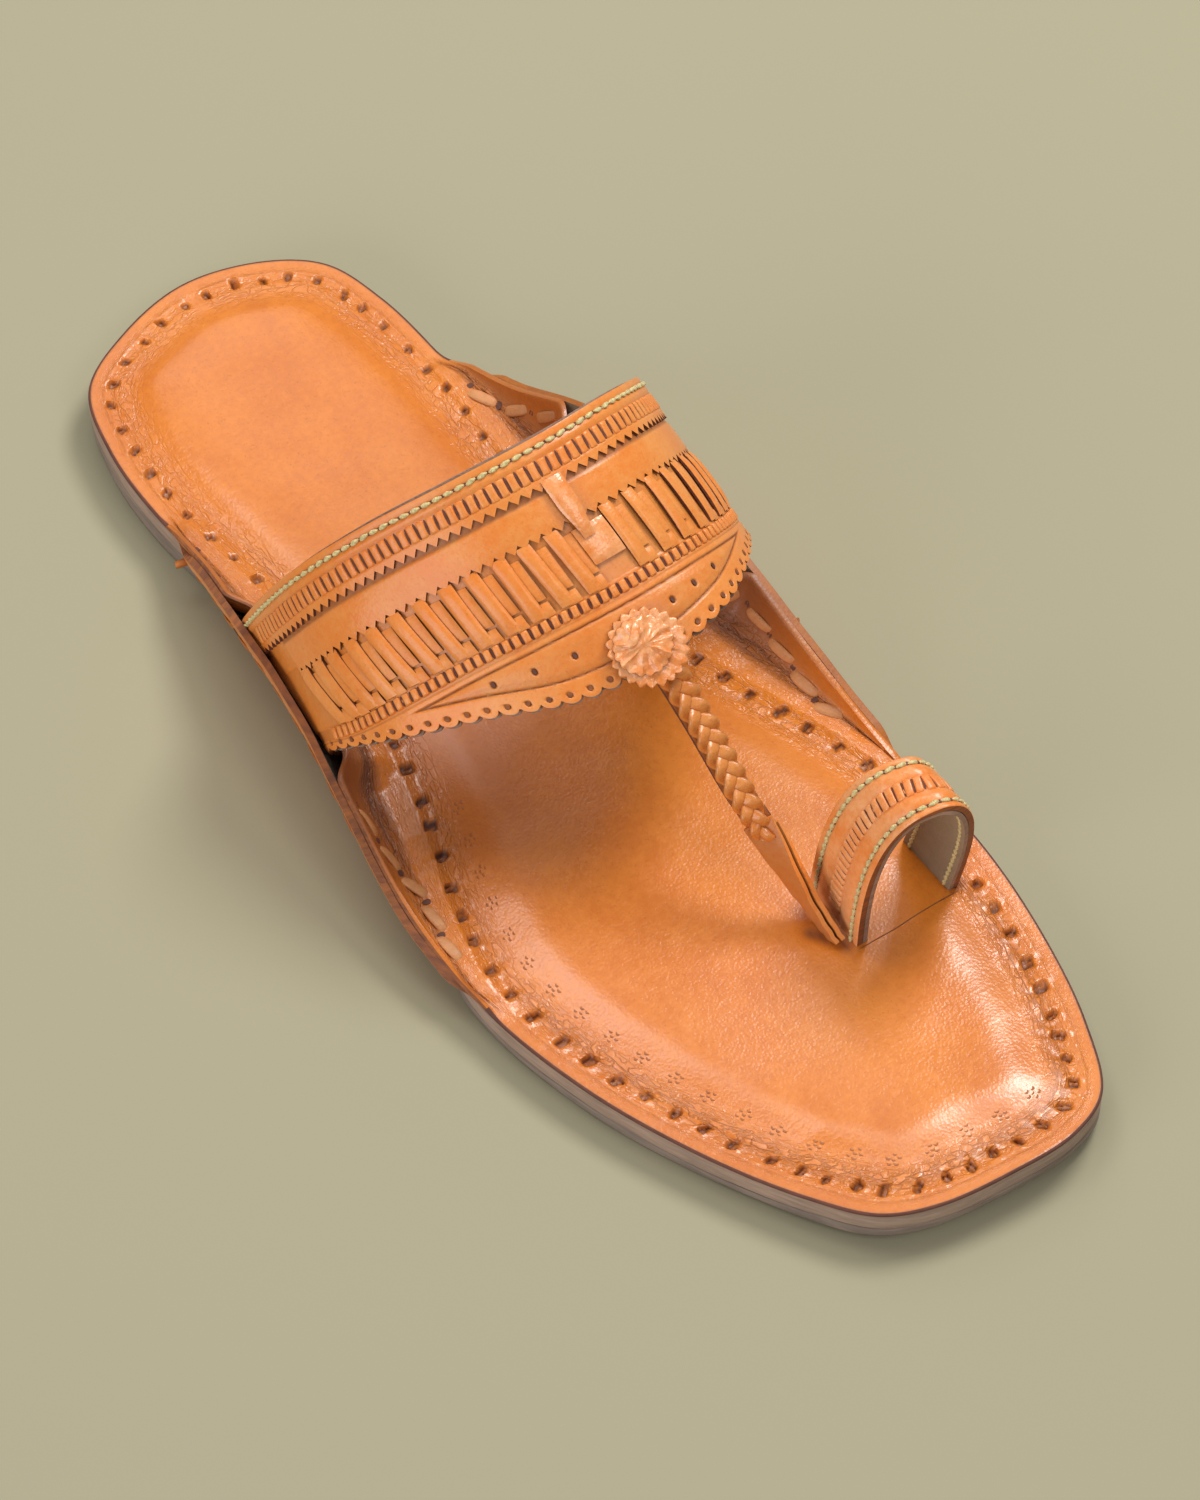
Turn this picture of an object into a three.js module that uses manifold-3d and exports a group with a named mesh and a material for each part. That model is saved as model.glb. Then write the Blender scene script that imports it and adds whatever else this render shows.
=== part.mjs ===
// Kolhapuri sandal, right foot: a flat toe-loop mule of vegetable-tanned leather.
// Millimetres, +Z up, toe towards -Y, big-toe side towards +X, origin on the floor under the
// middle of the sandal. Each sub-part is one closed solid in its own mesh.

import * as THREE from 'three';
import { mergeVertices } from 'three/addons/utils/BufferGeometryUtils.js';
import Module from 'manifold-3d';

const wasm = await Module();
wasm.setup();

// ---------------------------------------------------------------- driving dimensions

const GAP = 0.3;                    // clearance between pieces that touch
const OUTSOLE_THICK = 2.4;          // dark bottom layer
const MIDSOLE_THICK = 3.8;          // tan leather layer
const INSOLE_LEATHER = 1.8;         // top leather at its edge
const HEEL_LIFT = 1.8;              // how much higher the heel carries the foot than the ball
const ARCH_START = -18;             // y where the sole leaves the floor behind the ball
const ARCH_END = 38;                // y where the shank reaches its full height
const HEEL_BREAST = 60;             // y of the heel's front face
const BREAST_RUN = 4;               // length of the sloped heel breast
const SPRING_START = -90;           // y where the toe starts to rise
const SPRING_RUN = 48;              // length of the rising toe
const SPRING_RISE = 3.0;            // toe spring at the tip
const CUSHION_RISE = 2.4;           // padded middle of the insole above its edge
const CUSHION_MARGIN = 6.5;         // stitch row's distance from the edge
const CUSHION_FULL = 19;            // distance from the edge where the padding is full
const CORE_INSET = 14;              // middle ring of the layers' flat faces

const EAR_THICK = 1.6;              // outer leather of a side ear
const EAR_SETBACK = 1.3;            // its inner face inside the sole's edge
const EAR_LINING = 1.5;             // insole leather that lines an ear
const EAR_BLEND = 11;               // run-out of the turned-up lining beyond an ear
const EAR_FLANGE = 3.0;             // width of the ear's foot between insole and midsole
const EAR_BULGE = 0.85;             // where along the spread an ear's section turns upwards
const LINING_GAP = 0.4;             // between an ear and its lining
const LINING_DROP = 0.2;            // how much lower the lining ends where the band goes in
const POCKET = 4.3;                 // extra room between ear and lining where the band goes in
const BAND_INSET = 1.6;             // band's outer face inside the ear
const BAND_THICK = 2.0;
const TUCK = 0.5;                   // how far down the ear's section the band's end reaches

const LOOP_THICK = 2.6;
const THONG_THICK = 3.0;
const ROSETTE_RADIUS = 8.3;
const ROSETTE_TEETH = 20;
const ROSETTE_THICK = 1.1;
const SLOT_CLEARANCE = 0.35;
const SLOT_LEAN = 1.0;              // extra length for the loop's forward lean
const SLOT_SLACK = 1.4;             // extra width for the loop's rounding
const SLOT_HEIGHT = 30;             // cutter's height, through the whole top leather

const OUTLINE_STEPS = 120;
const BAND_STEPS = 44;
const BAND_ROWS = 6;
const EAR_STEPS = 30;
const LOOP_STEPS = 26;
const THONG_STEPS = 18;

// ---------------------------------------------------------------- tables

// Sole outline, seen from above, from the back of the heel round by the big-toe side.
const OUTLINE = [
  { x: 1.5, y: 136.3 }, { x: 18.5, y: 131.2 }, { x: 29, y: 122.5 }, { x: 33.3, y: 108 },
  { x: 34.5, y: 90 }, { x: 34, y: 70 }, { x: 33, y: 45 }, { x: 33.3, y: 20 },
  { x: 36.5, y: 0 }, { x: 42, y: -18 }, { x: 48, y: -36 }, { x: 51.5, y: -54 },
  { x: 51.6, y: -76 }, { x: 48, y: -99.5 }, { x: 42.2, y: -119 }, { x: 34, y: -134.3 },
  { x: 24, y: -138.6 }, { x: 8.5, y: -138.3 }, { x: -7.8, y: -135.4 }, { x: -18.2, y: -130 },
  { x: -26.6, y: -118.5 }, { x: -37.6, y: -97 }, { x: -47.1, y: -71 }, { x: -51.8, y: -44 },
  { x: -49.5, y: -28 }, { x: -44.5, y: -13 }, { x: -39, y: 3 }, { x: -34.8, y: 22 },
  { x: -33.5, y: 45 }, { x: -35, y: 68 }, { x: -36.9, y: 90 }, { x: -35.5, y: 110 },
  { x: -30, y: 125.5 }, { x: -16, y: 133.2 },
];

// Rim of the two side ears: distance from the centre line and height above the floor.
const EAR_RIM = [
  { y: 88, lateralX: 37.2, lateralZ: 10.9, medialX: 36.2, medialZ: 10.9 },
  { y: 70, lateralX: 39.0, lateralZ: 17.1, medialX: 40.1, medialZ: 16.0 },
  { y: 52, lateralX: 42.7, lateralZ: 24.1, medialX: 43.3, medialZ: 26.6 },
  { y: 35, lateralX: 45.3, lateralZ: 28.0, medialX: 46.5, medialZ: 31.0 },
  { y: 18, lateralX: 47.9, lateralZ: 26.9, medialX: 47.9, medialZ: 28.1 },
  { y: 0, lateralX: 50.9, lateralZ: 21.3, medialX: 48.3, medialZ: 24.1 },
  { y: -18, lateralX: 52.9, lateralZ: 13.8, medialX: 48.9, medialZ: 18.6 },
  { y: -36, lateralX: 52.8, lateralZ: 9.3, medialX: 50.0, medialZ: 12.6 },
  { y: -50, lateralX: 51.5, lateralZ: 8.8, medialX: 51.0, medialZ: 9.0 },
];
const EARS = {
  lateral: { sign: -1, back: 80, front: -39 },
  medial: { sign: 1, back: 80, front: -45 },
};

// Instep band between the ears: its back and front edges across the instep.
const BAND = [
  { backX: -38.8, backY: 38.9, backZ: 53.6, frontX: -41.1, frontY: -0.7, frontZ: 42.4 },
  { backX: -27.6, backY: 29.2, backZ: 71.5, frontX: -27.1, frontY: -12.6, frontZ: 51.6 },
  { backX: -11.7, backY: 21.1, backZ: 83.2, frontX: -10.9, frontY: -23.1, frontZ: 56.8 },
  { backX: 6.5, backY: 17.2, backZ: 87.9, frontX: 6.4, frontY: -27.0, frontZ: 61.0 },
  { backX: 23.8, backY: 19.4, backZ: 83.9, frontX: 23.5, frontY: -24.1, frontZ: 61.3 },
  { backX: 36.5, backY: 26.5, backZ: 70.8, frontX: 36.6, frontY: -14.4, frontZ: 54.2 },
  { backX: 43.7, backY: 36.7, backZ: 52.1, frontX: 45.7, frontY: -2.7, frontZ: 41.4 },
];
// Where the band goes into each ear.
const BAND_ENDS = {
  lateral: { backY: 52, frontY: 13.5, tuckBackY: 55, tuckFrontY: 17 },
  medial: { backY: 48, frontY: 4, tuckBackY: 51, tuckFrontY: 8 },
};

// Toe loop: an arch over the big toe, given by the foot and the crown of its two edges.
const LOOP = {
  front: { innerX: 15.5, outerX: 41.6, innerY: -78.6, outerY: -78.2, crownZ: 55.4, lean: -5.4, leanSkew: 0.9 },
  back: { innerX: 17.0, outerX: 41.4, innerY: -61.0, outerY: -63.5, crownZ: 55.0, lean: -7.0, leanSkew: 0.6 },
  foot: 8.2,
  roundness: 2.45,
  riseSkew: 0.1,
};

// Braided thong from under the rosette down to its slot beside the big toe. The strap's
// width turns from lying flat to standing on edge on the way down.
const THONG = [
  { x: 6.3, y: -14.0, z: 66.6, width: 8.4, turn: 0 },
  { x: 6.4, y: -25.0, z: 59.0, width: 8.4, turn: 0 },
  { x: 7.4, y: -37.0, z: 49.0, width: 8.0, turn: 0 },
  { x: 8.2, y: -49.0, z: 38.0, width: 7.6, turn: 8 },
  { x: 9.6, y: -59.0, z: 28.2, width: 7.2, turn: 30 },
  { x: 11.2, y: -67.0, z: 18.8, width: 7.0, turn: 60 },
  { x: 12.4, y: -72.0, z: 13.4, width: 7.0, turn: 74 },
  { x: 13.0, y: -74.2, z: 10.8, width: 7.0, turn: 76 },
];

// ---------------------------------------------------------------- small maths

const clamp01 = (value) => Math.min(1, Math.max(0, value));
const smooth = (from, to, value) => {
  const t = clamp01((value - from) / (to - from));
  return t * t * (3 - 2 * t);
};
const lerp = (a, b, t) => a + (b - a) * t;

// Smooth curve through the rows of a table: value of one column where keyColumn equals key.
function column(rows, keyColumn, name, key) {
  const sign = Math.sign(rows[1][keyColumn] - rows[0][keyColumn]);
  const last = rows.length - 1;
  let i = 0;
  while (i < last - 1 && sign * (key - rows[i + 1][keyColumn]) > 0) i += 1;
  const slope = (k) => {
    const a = rows[Math.max(0, k - 1)];
    const b = rows[Math.min(last, k + 1)];
    return (b[name] - a[name]) / (b[keyColumn] - a[keyColumn]);
  };
  const step = rows[i + 1][keyColumn] - rows[i][keyColumn];
  const t = clamp01((key - rows[i][keyColumn]) / step);
  const t2 = t * t;
  const t3 = t2 * t;
  return (2 * t3 - 3 * t2 + 1) * rows[i][name] + (t3 - 2 * t2 + t) * step * slope(i)
    + (3 * t2 - 2 * t3) * rows[i + 1][name] + (t3 - t2) * step * slope(i + 1);
}

// Smooth curve through rows by position 0..1 along the table.
function along(rows, name, t) {
  const numbered = rows.map((row, i) => ({ place: i, value: row[name] }));
  return column(numbered, 'place', 'value', t * (rows.length - 1));
}

// ---------------------------------------------------------------- meshes

// Closed body from rings of equal length, ordered so that the faces point outwards,
// with the first and last ring filled.
function bodyFromRings(rings, shape) {
  const count = rings[0].length;
  const positions = rings.flat().flatMap((p) => [p.x, p.y, p.z]);
  const triangles = [];
  for (let r = 0; r + 1 < rings.length; r += 1) {
    for (let i = 0; i < count; i += 1) {
      const j = (i + 1) % count;
      const a = r * count + i;
      const b = r * count + j;
      const c = (r + 1) * count + j;
      const d = (r + 1) * count + i;
      triangles.push(a, b, c, a, c, d);
    }
  }
  const top = (rings.length - 1) * count;
  for (const [a, b, c] of capTriangles(rings[0], shape)) triangles.push(a, c, b);
  for (const [a, b, c] of capTriangles(rings.at(-1), shape)) triangles.push(top + a, top + b, top + c);
  const geometry = new THREE.BufferGeometry();
  geometry.setAttribute('position', new THREE.Float32BufferAttribute(positions, 3));
  geometry.setIndex(triangles);
  return geometry;
}

// Triangles that fill a ring: 'plan' for rings seen from above, 'strip' for flat sections
// whose first half runs along one side and second half back along the other.
function capTriangles(ring, shape) {
  if (shape === 'plan') {
    const flat = ring.map((p) => new THREE.Vector2(p.x, p.y));
    const faces = THREE.ShapeUtils.triangulateShape(flat, []);
    return THREE.ShapeUtils.isClockWise(flat) ? faces.map(([a, b, c]) => [a, c, b]) : faces;
  }
  const half = ring.length / 2;
  const faces = [];
  for (let i = 0; i + 1 < half; i += 1) {
    const k = ring.length - 1 - i;
    faces.push([i, i + 1, k - 1], [i, k - 1, k]);
  }
  return faces;
}

function toManifold(geometry) {
  const bare = new THREE.BufferGeometry();
  bare.setAttribute('position', geometry.getAttribute('position').clone());
  if (geometry.index) bare.setIndex(geometry.index.clone());
  const merged = mergeVertices(bare, 1e-4);
  return new wasm.Manifold(new wasm.Mesh({
    numProp: 3,
    vertProperties: new Float32Array(merged.getAttribute('position').array),
    triVerts: new Uint32Array(merged.index.array),
  }));
}

function fromManifold(solid) {
  const mesh = solid.getMesh();
  const geometry = new THREE.BufferGeometry();
  const positions = [];
  for (let i = 0; i < mesh.vertProperties.length; i += mesh.numProp) {
    positions.push(mesh.vertProperties[i], mesh.vertProperties[i + 1], mesh.vertProperties[i + 2]);
  }
  geometry.setAttribute('position', new THREE.Float32BufferAttribute(positions, 3));
  geometry.setIndex([...mesh.triVerts]);
  return geometry;
}

// Turns the faces round if the closed body points inwards.
function facingOut(geometry) {
  const p = geometry.getAttribute('position');
  const index = geometry.index.array;
  let volume = 0;
  for (let i = 0; i < index.length; i += 3) {
    const [a, b, c] = [0, 1, 2].map((k) => new THREE.Vector3().fromBufferAttribute(p, index[i + k]));
    volume += a.dot(b.cross(c)) / 6;
  }
  if (volume < 0) {
    for (let i = 0; i < index.length; i += 3) [index[i], index[i + 1]] = [index[i + 1], index[i]];
  }
  return geometry;
}

// ---------------------------------------------------------------- sole and insole forms

const outlineCurve = new THREE.CatmullRomCurve3(
  OUTLINE.map((row) => new THREE.Vector3(row.x, row.y, 0)), true, 'centripetal');
const outlinePoints = outlineCurve.getSpacedPoints(OUTLINE_STEPS).slice(0, OUTLINE_STEPS);

// Height of the layers above a flat sole: arch, heel and toe spring.
function lift(y) {
  const spring = clamp01((SPRING_START - y) / SPRING_RUN);
  return HEEL_LIFT * smooth(ARCH_START, ARCH_END, y) + SPRING_RISE * spring * spring;
}

// Rings shared by all layers, so that their faces stay parallel.
const coreOut = (height) => [
  spineRing(0.9, height), insetRing(CORE_INSET, height), insetRing(EAR_FLANGE + 1.5, height),
];
const coreIn = (height) => coreOut(height).reverse();

const midsoleBase = (y) => OUTSOLE_THICK + GAP + lift(y);
const insoleBase = (y) => midsoleBase(y) + MIDSOLE_THICK + GAP;
const insoleEdge = (y) => insoleBase(y) + INSOLE_LEATHER;

// Nearest place on the sandal's spine, where padding rings close in.
function spinePoint(point) {
  const y = Math.min(104, Math.max(-108, point.y));
  return new THREE.Vector3(lerp(0, 10, smooth(60, -100, y)), y, 0);
}

// Outline moved inwards by a distance, with its height given by a function of y.
function insetRing(distance, height) {
  return outlinePoints.map((point) => {
    const spine = spinePoint(point);
    const inward = spine.clone().sub(point);
    const moved = point.clone().addScaledVector(inward.clone().normalize(), distance);
    return new THREE.Vector3(moved.x, moved.y, height(moved.y, point));
  });
}

// Outline moved a share of the way to the spine.
function spineRing(share, height) {
  return outlinePoints.map((point) => {
    const moved = point.clone().lerp(spinePoint(point), share);
    return new THREE.Vector3(moved.x, moved.y, height(moved.y, point));
  });
}

// Half width of the sole at y on one side, read from the outline.
function soleHalfWidth(sign, y) {
  let best = 0;
  for (let i = 0; i < OUTLINE_STEPS; i += 1) {
    const a = outlinePoints[i];
    const b = outlinePoints[(i + 1) % OUTLINE_STEPS];
    const crosses = (a.y - y) * (b.y - y) <= 0 && a.y !== b.y;
    if (crosses && sign * (a.x + b.x) > 0) best = sign * lerp(a.x, b.x, (y - a.y) / (b.y - a.y));
  }
  return best;
}

// Point on an ear's inner face in the section at y: t = 0 at the sole's edge, 1 at the rim.
function earPoint(side, y, t, inset) {
  const { sign } = EARS[side];
  const base = new THREE.Vector2(soleHalfWidth(sign, y) - EAR_SETBACK, insoleBase(y) + EAR_THICK);
  const rim = new THREE.Vector2(column(EAR_RIM, 'y', `${side}X`, y), column(EAR_RIM, 'y', `${side}Z`, y));
  const turn = new THREE.Vector2(lerp(base.x, rim.x, EAR_BULGE), base.y);
  const low = base.clone().lerp(turn, t);
  const high = turn.clone().lerp(rim, t);
  const direction = high.clone().sub(low).normalize();
  const place = low.lerp(high, t);
  return new THREE.Vector3(
    sign * (place.x - direction.y * inset), y, place.y + direction.x * inset);
}

// 1 where the band goes in between the ear and its lining, 0 beyond.
function pocket(side, y) {
  const end = BAND_ENDS[side];
  const behind = smooth(end.backY + 14, end.backY + 3, y);
  return behind * smooth(end.frontY - 14, end.frontY - 3, y);
}

// 1 along an ear, 0 beyond its ends.
function earWeight(side, y) {
  const { back, front } = EARS[side];
  return smooth(back + EAR_BLEND, back + 1, y) * smooth(front - EAR_BLEND, front - 1, y);
}

function outsole() {
  const heel = (y) => smooth(HEEL_BREAST, HEEL_BREAST + BREAST_RUN, y);
  const bottom = (y) => lift(y) * (1 - heel(y));
  const top = (y) => OUTSOLE_THICK + lift(y);
  return bodyFromRings([
    ...coreOut(bottom), insetRing(0.6, bottom), insetRing(0.2, (y) => bottom(y) + 0.4),
    insetRing(0.2, top), ...coreIn(top),
  ], 'plan');
}

function midsole() {
  const top = (y) => midsoleBase(y) + MIDSOLE_THICK;
  return bodyFromRings([
    ...coreOut(midsoleBase), insetRing(0.1, midsoleBase), insetRing(0.1, top), ...coreIn(top),
  ], 'plan');
}

// Ring of the insole: the flat sandal's edge, blended into the ear's lining where there is one.
function insoleRing(distance, height, t, wall) {
  return insetRing(distance, height).map((flat, i) => {
    const edge = outlinePoints[i];
    const side = edge.x < 0 ? 'lateral' : 'medial';
    const weight = Math.abs(edge.y) > 100 ? 0 : earWeight(side, edge.y);
    if (weight === 0) return flat;
    const opened = pocket(side, edge.y);
    const height = t * (1 - LINING_DROP * opened);
    const ear = earPoint(side, edge.y, height, LINING_GAP + POCKET * opened + wall);
    return flat.lerp(ear, weight);
  });
}

// Ring of the insole inside the edge, raised over the ear's flange.
function flangeRing(distance, height, share) {
  return insetRing(distance, (y, point) => {
    const side = point.x < 0 ? 'lateral' : 'medial';
    const weight = Math.abs(point.y) > 100 ? 0 : earWeight(side, point.y);
    return height(y) + weight * share * (EAR_THICK + GAP);
  });
}

function insole() {
  const padding = (distance) => CUSHION_RISE * smooth(CUSHION_MARGIN - 1, CUSHION_FULL, distance);
  const padded = (distance) => insetRing(distance, (y) => insoleEdge(y) + padding(distance));
  const rings = [
    ...coreOut(insoleBase),
    flangeRing(EAR_FLANGE + 0.4, insoleBase, 1),
    insoleRing(0, insoleBase, 0.12, 0),
    insoleRing(0, (y) => insoleBase(y) + 0.7, 0.55, 0),
    insoleRing(0, (y) => insoleEdge(y) - 0.3, 1, 0),
    insoleRing(0.4, insoleEdge, 1, EAR_LINING),
    insoleRing(1.2, insoleEdge, 0.55, EAR_LINING),
    insoleRing(2.2, insoleEdge, 0.12, EAR_LINING),
    flangeRing(EAR_FLANGE + 1.2, insoleEdge, 0.8),
    padded(8), padded(13), padded(CUSHION_FULL),
    spineRing(0.9, (y) => insoleEdge(y) + CUSHION_RISE),
  ];
  return bodyFromRings(rings, 'plan');
}

// ---------------------------------------------------------------- ears

function ear(side) {
  const { sign, back, front } = EARS[side];
  const rings = [];
  for (let i = 0; i <= EAR_STEPS; i += 1) {
    const y = lerp(back, front, i / EAR_STEPS);
    const edge = soleHalfWidth(sign, y);
    const flange = (z) => new THREE.Vector3(sign * (edge - EAR_FLANGE), y, z);
    const face = (t, inset) => earPoint(side, y, t, inset);
    rings.push([
      flange(insoleBase(y) + EAR_THICK), face(0.1, 0), face(0.4, 0), face(0.7, 0), face(1, 0),
      face(1, -EAR_THICK), face(0.7, -EAR_THICK), face(0.4, -EAR_THICK), face(0.1, -EAR_THICK),
      flange(insoleBase(y)),
    ]);
  }
  return bodyFromRings(rings, 'strip');
}

// ---------------------------------------------------------------- upper

// Rows of the band from the lateral tuck to the medial tuck: outer face of both edges.
function bandRows() {
  const intoEar = (side, t, backY, frontY) => {
    const back = earPoint(side, backY, t, BAND_INSET);
    const front = earPoint(side, frontY, t, BAND_INSET);
    return {
      backX: back.x, backY: back.y, backZ: back.z, frontX: front.x, frontY: front.y, frontZ: front.z,
    };
  };
  const { lateral, medial } = BAND_ENDS;
  return [
    intoEar('lateral', TUCK, lateral.tuckBackY, lateral.tuckFrontY),
    intoEar('lateral', 1, lateral.backY, lateral.frontY),
    ...BAND,
    intoEar('medial', 1, medial.backY, medial.frontY),
    intoEar('medial', TUCK, medial.tuckBackY, medial.tuckFrontY),
  ];
}

const bandTable = bandRows();

// Point of the band's outer face: s from the lateral to the medial end, w from back to front.
function bandPoint(s, w) {
  const back = ['X', 'Y', 'Z'].map((axis) => along(bandTable, `back${axis}`, s));
  const front = ['X', 'Y', 'Z'].map((axis) => along(bandTable, `front${axis}`, s));
  return new THREE.Vector3(...back).lerp(new THREE.Vector3(...front), w);
}

function bandNormal(s, w) {
  const step = 1e-3;
  const across = bandPoint(Math.min(1, s + step), w).sub(bandPoint(Math.max(0, s - step), w));
  const length = bandPoint(s, w + step).sub(bandPoint(s, w - step));
  return length.cross(across).normalize();
}

function band() {
  const rings = [];
  for (let i = 0; i <= BAND_STEPS; i += 1) {
    const s = i / BAND_STEPS;
    const outer = [];
    const inner = [];
    for (let k = 0; k <= BAND_ROWS; k += 1) {
      const w = k / BAND_ROWS;
      const place = bandPoint(s, w);
      outer.push(place);
      inner.unshift(place.clone().addScaledVector(bandNormal(s, w), -BAND_THICK));
    }
    rings.push([...outer, ...inner]);
  }
  return bodyFromRings(rings, 'strip');
}

function thong() {
  const rings = [];
  for (let i = 0; i <= THONG_STEPS; i += 1) {
    const t = i / THONG_STEPS;
    const at = (u) => new THREE.Vector3(...['x', 'y', 'z'].map((name) => along(THONG, name, clamp01(u))));
    const forward = at(t + 0.01).sub(at(t - 0.01)).normalize();
    const flat = new THREE.Vector3(1, 0, 0);
    flat.addScaledVector(forward, -flat.dot(forward)).normalize();
    flat.applyAxisAngle(forward, THREE.MathUtils.degToRad(along(THONG, 'turn', t)));
    const up = forward.clone().cross(flat).normalize();
    const width = along(THONG, 'width', t) / 2;
    const thick = THONG_THICK / 2;
    const corner = (a, b) => at(t).addScaledVector(flat, a * width).addScaledVector(up, b * thick);
    rings.push([corner(-1, -0.5), corner(-0.6, -1), corner(0.6, -1), corner(1, -0.5),
      corner(1, 0.5), corner(0.6, 1), corner(-0.6, 1), corner(-1, 0.5)]);
  }
  return bodyFromRings(rings, 'strip');
}

// ---------------------------------------------------------------- toe loop and rosette

// Edge of the loop: angle 0 at the foot beside the second toe, pi at the outer foot.
function loopEdge(edge, angle, inset) {
  const power = 2 / LOOP.roundness;
  const half = (edge.outerX - edge.innerX) / 2 - inset;
  const rise = edge.crownZ - LOOP.foot - inset;
  const reach = -Math.sign(Math.cos(angle)) * Math.abs(Math.cos(angle)) ** power;
  const height = Math.abs(Math.sin(angle)) ** power;
  return new THREE.Vector3(
    (edge.innerX + edge.outerX) / 2 + half * reach,
    lerp(edge.innerY, edge.outerY, (1 + reach) / 2) + edge.lean * height * (1 + edge.leanSkew * reach),
    LOOP.foot + rise * height * (1 + LOOP.riseSkew * reach));
}

function toeLoop() {
  const rings = [];
  for (let i = 0; i <= LOOP_STEPS; i += 1) {
    const angle = Math.PI * (i / LOOP_STEPS);
    const edge = (name, inset) => loopEdge(LOOP[name], angle, inset);
    const middle = (inset) => edge('back', inset).lerp(edge('front', inset), 0.5);
    rings.push([
      edge('back', 0), middle(0), edge('front', 0),
      edge('front', LOOP_THICK), middle(LOOP_THICK), edge('back', LOOP_THICK),
    ]);
  }
  return bodyFromRings(rings, 'strip');
}

// Round leather flower: a toothed disc with a smaller one on it.
function rosette() {
  const toothed = (radius, thick) => {
    const outline = new THREE.Shape();
    for (let i = 0; i < 2 * ROSETTE_TEETH; i += 1) {
      const angle = (Math.PI * i) / ROSETTE_TEETH;
      const reach = i % 2 === 0 ? radius : radius - 1.1;
      const point = [reach * Math.cos(angle), reach * Math.sin(angle)];
      if (i === 0) outline.moveTo(...point);
      else outline.lineTo(...point);
    }
    return new THREE.ExtrudeGeometry(outline, { depth: thick, bevelEnabled: false, steps: 1 });
  };
  const lower = toManifold(toothed(ROSETTE_RADIUS, ROSETTE_THICK));
  const upper = toManifold(toothed(ROSETTE_RADIUS * 0.72, 2 * ROSETTE_THICK));
  return fromManifold(lower.add(upper));
}

// ---------------------------------------------------------------- assembly

const COLOURS = {
  glossyTan: { color: 0xc9722f, roughness: 0.32 },
  bandTan: { color: 0xc4713a, roughness: 0.45 },
  edgeTan: { color: 0xa9866b, roughness: 0.75 },
  soleGrey: { color: 0x7d6a60, roughness: 0.8 },
};

const sandal = new THREE.Group();

function addPiece(name, geometry, finish) {
  const material = new THREE.MeshStandardMaterial({ ...COLOURS[finish], metalness: 0 });
  const mesh = new THREE.Mesh(facingOut(geometry), material);
  mesh.name = name;
  sandal.add(mesh);
  return mesh;
}

// A box round the end of a strap, used to cut the slot that the strap goes down into.
function slotCutter(x, y, length, angle, width) {
  const box = new THREE.BoxGeometry(width, length, SLOT_HEIGHT);
  box.rotateZ(angle);
  box.translate(x, y, SLOT_HEIGHT / 2);
  return toManifold(box);
}

// Slot for one foot of the toe loop: 'inner' or 'outer'.
function loopSlot(foot, inward) {
  const { front, back } = LOOP;
  const length = back[`${foot}Y`] - front[`${foot}Y`] + 2 * SLOT_CLEARANCE + SLOT_LEAN;
  const run = back[`${foot}X`] - front[`${foot}X`];
  const angle = Math.atan2(-run, back[`${foot}Y`] - front[`${foot}Y`]);
  return slotCutter(
    (front[`${foot}X`] + back[`${foot}X`]) / 2 + inward * LOOP_THICK / 2,
    (front[`${foot}Y`] + back[`${foot}Y`] - SLOT_LEAN) / 2,
    length, angle, LOOP_THICK + 2 * SLOT_CLEARANCE + SLOT_SLACK);
}

const thongEnd = THONG.at(-1);
const thongSlot = slotCutter(thongEnd.x - 0.3, thongEnd.y + 1.2, thongEnd.width + 4.6, 0.2, THONG_THICK + 3);

addPiece('outsole', outsole(), 'soleGrey');
addPiece('midsole', midsole(), 'edgeTan');
addPiece('insole', fromManifold(
  toManifold(facingOut(insole())).subtract(loopSlot('inner', 1)).subtract(loopSlot('outer', -1))
    .subtract(thongSlot)), 'glossyTan');
addPiece('ear_lateral', ear('lateral'), 'bandTan');
addPiece('ear_medial', ear('medial'), 'bandTan');
addPiece('upper', fromManifold(
  toManifold(facingOut(band())).add(toManifold(facingOut(thong())))), 'bandTan');
addPiece('toe_loop', toeLoop(), 'bandTan');

const rosetteMesh = addPiece('rosette', rosette(), 'bandTan');
const ROSETTE_S = 0.4865;
const ROSETTE_W = 0.93;
const ROSETTE_LIFT = 0.5;
const rosetteNormal = bandNormal(ROSETTE_S, ROSETTE_W);
rosetteMesh.position.copy(bandPoint(ROSETTE_S, ROSETTE_W)).addScaledVector(rosetteNormal, ROSETTE_LIFT);
rosetteMesh.quaternion.setFromUnitVectors(new THREE.Vector3(0, 0, 1), rosetteNormal);

// The origin goes on the floor under the middle of the whole sandal.
sandal.updateMatrixWorld(true);
const extent = new THREE.Box3().setFromObject(sandal, true);
const middle = extent.getCenter(new THREE.Vector3());
sandal.position.set(-middle.x, -middle.y, -extent.min.z);

export default sandal;
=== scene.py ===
"""Kolhapuri sandal, right foot: a flat toe-loop sandal of vegetable-tanned leather.

Sizes in the tables are millimetres on the shoemaker's own centre line; every mesh is written in
metres in the part's frame: toe towards -Y, big-toe side towards +X, +Z up, floor at zero.
"""

import math

import bmesh
import bpy
import numpy as np
from mathutils import Euler, Matrix, Vector


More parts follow.
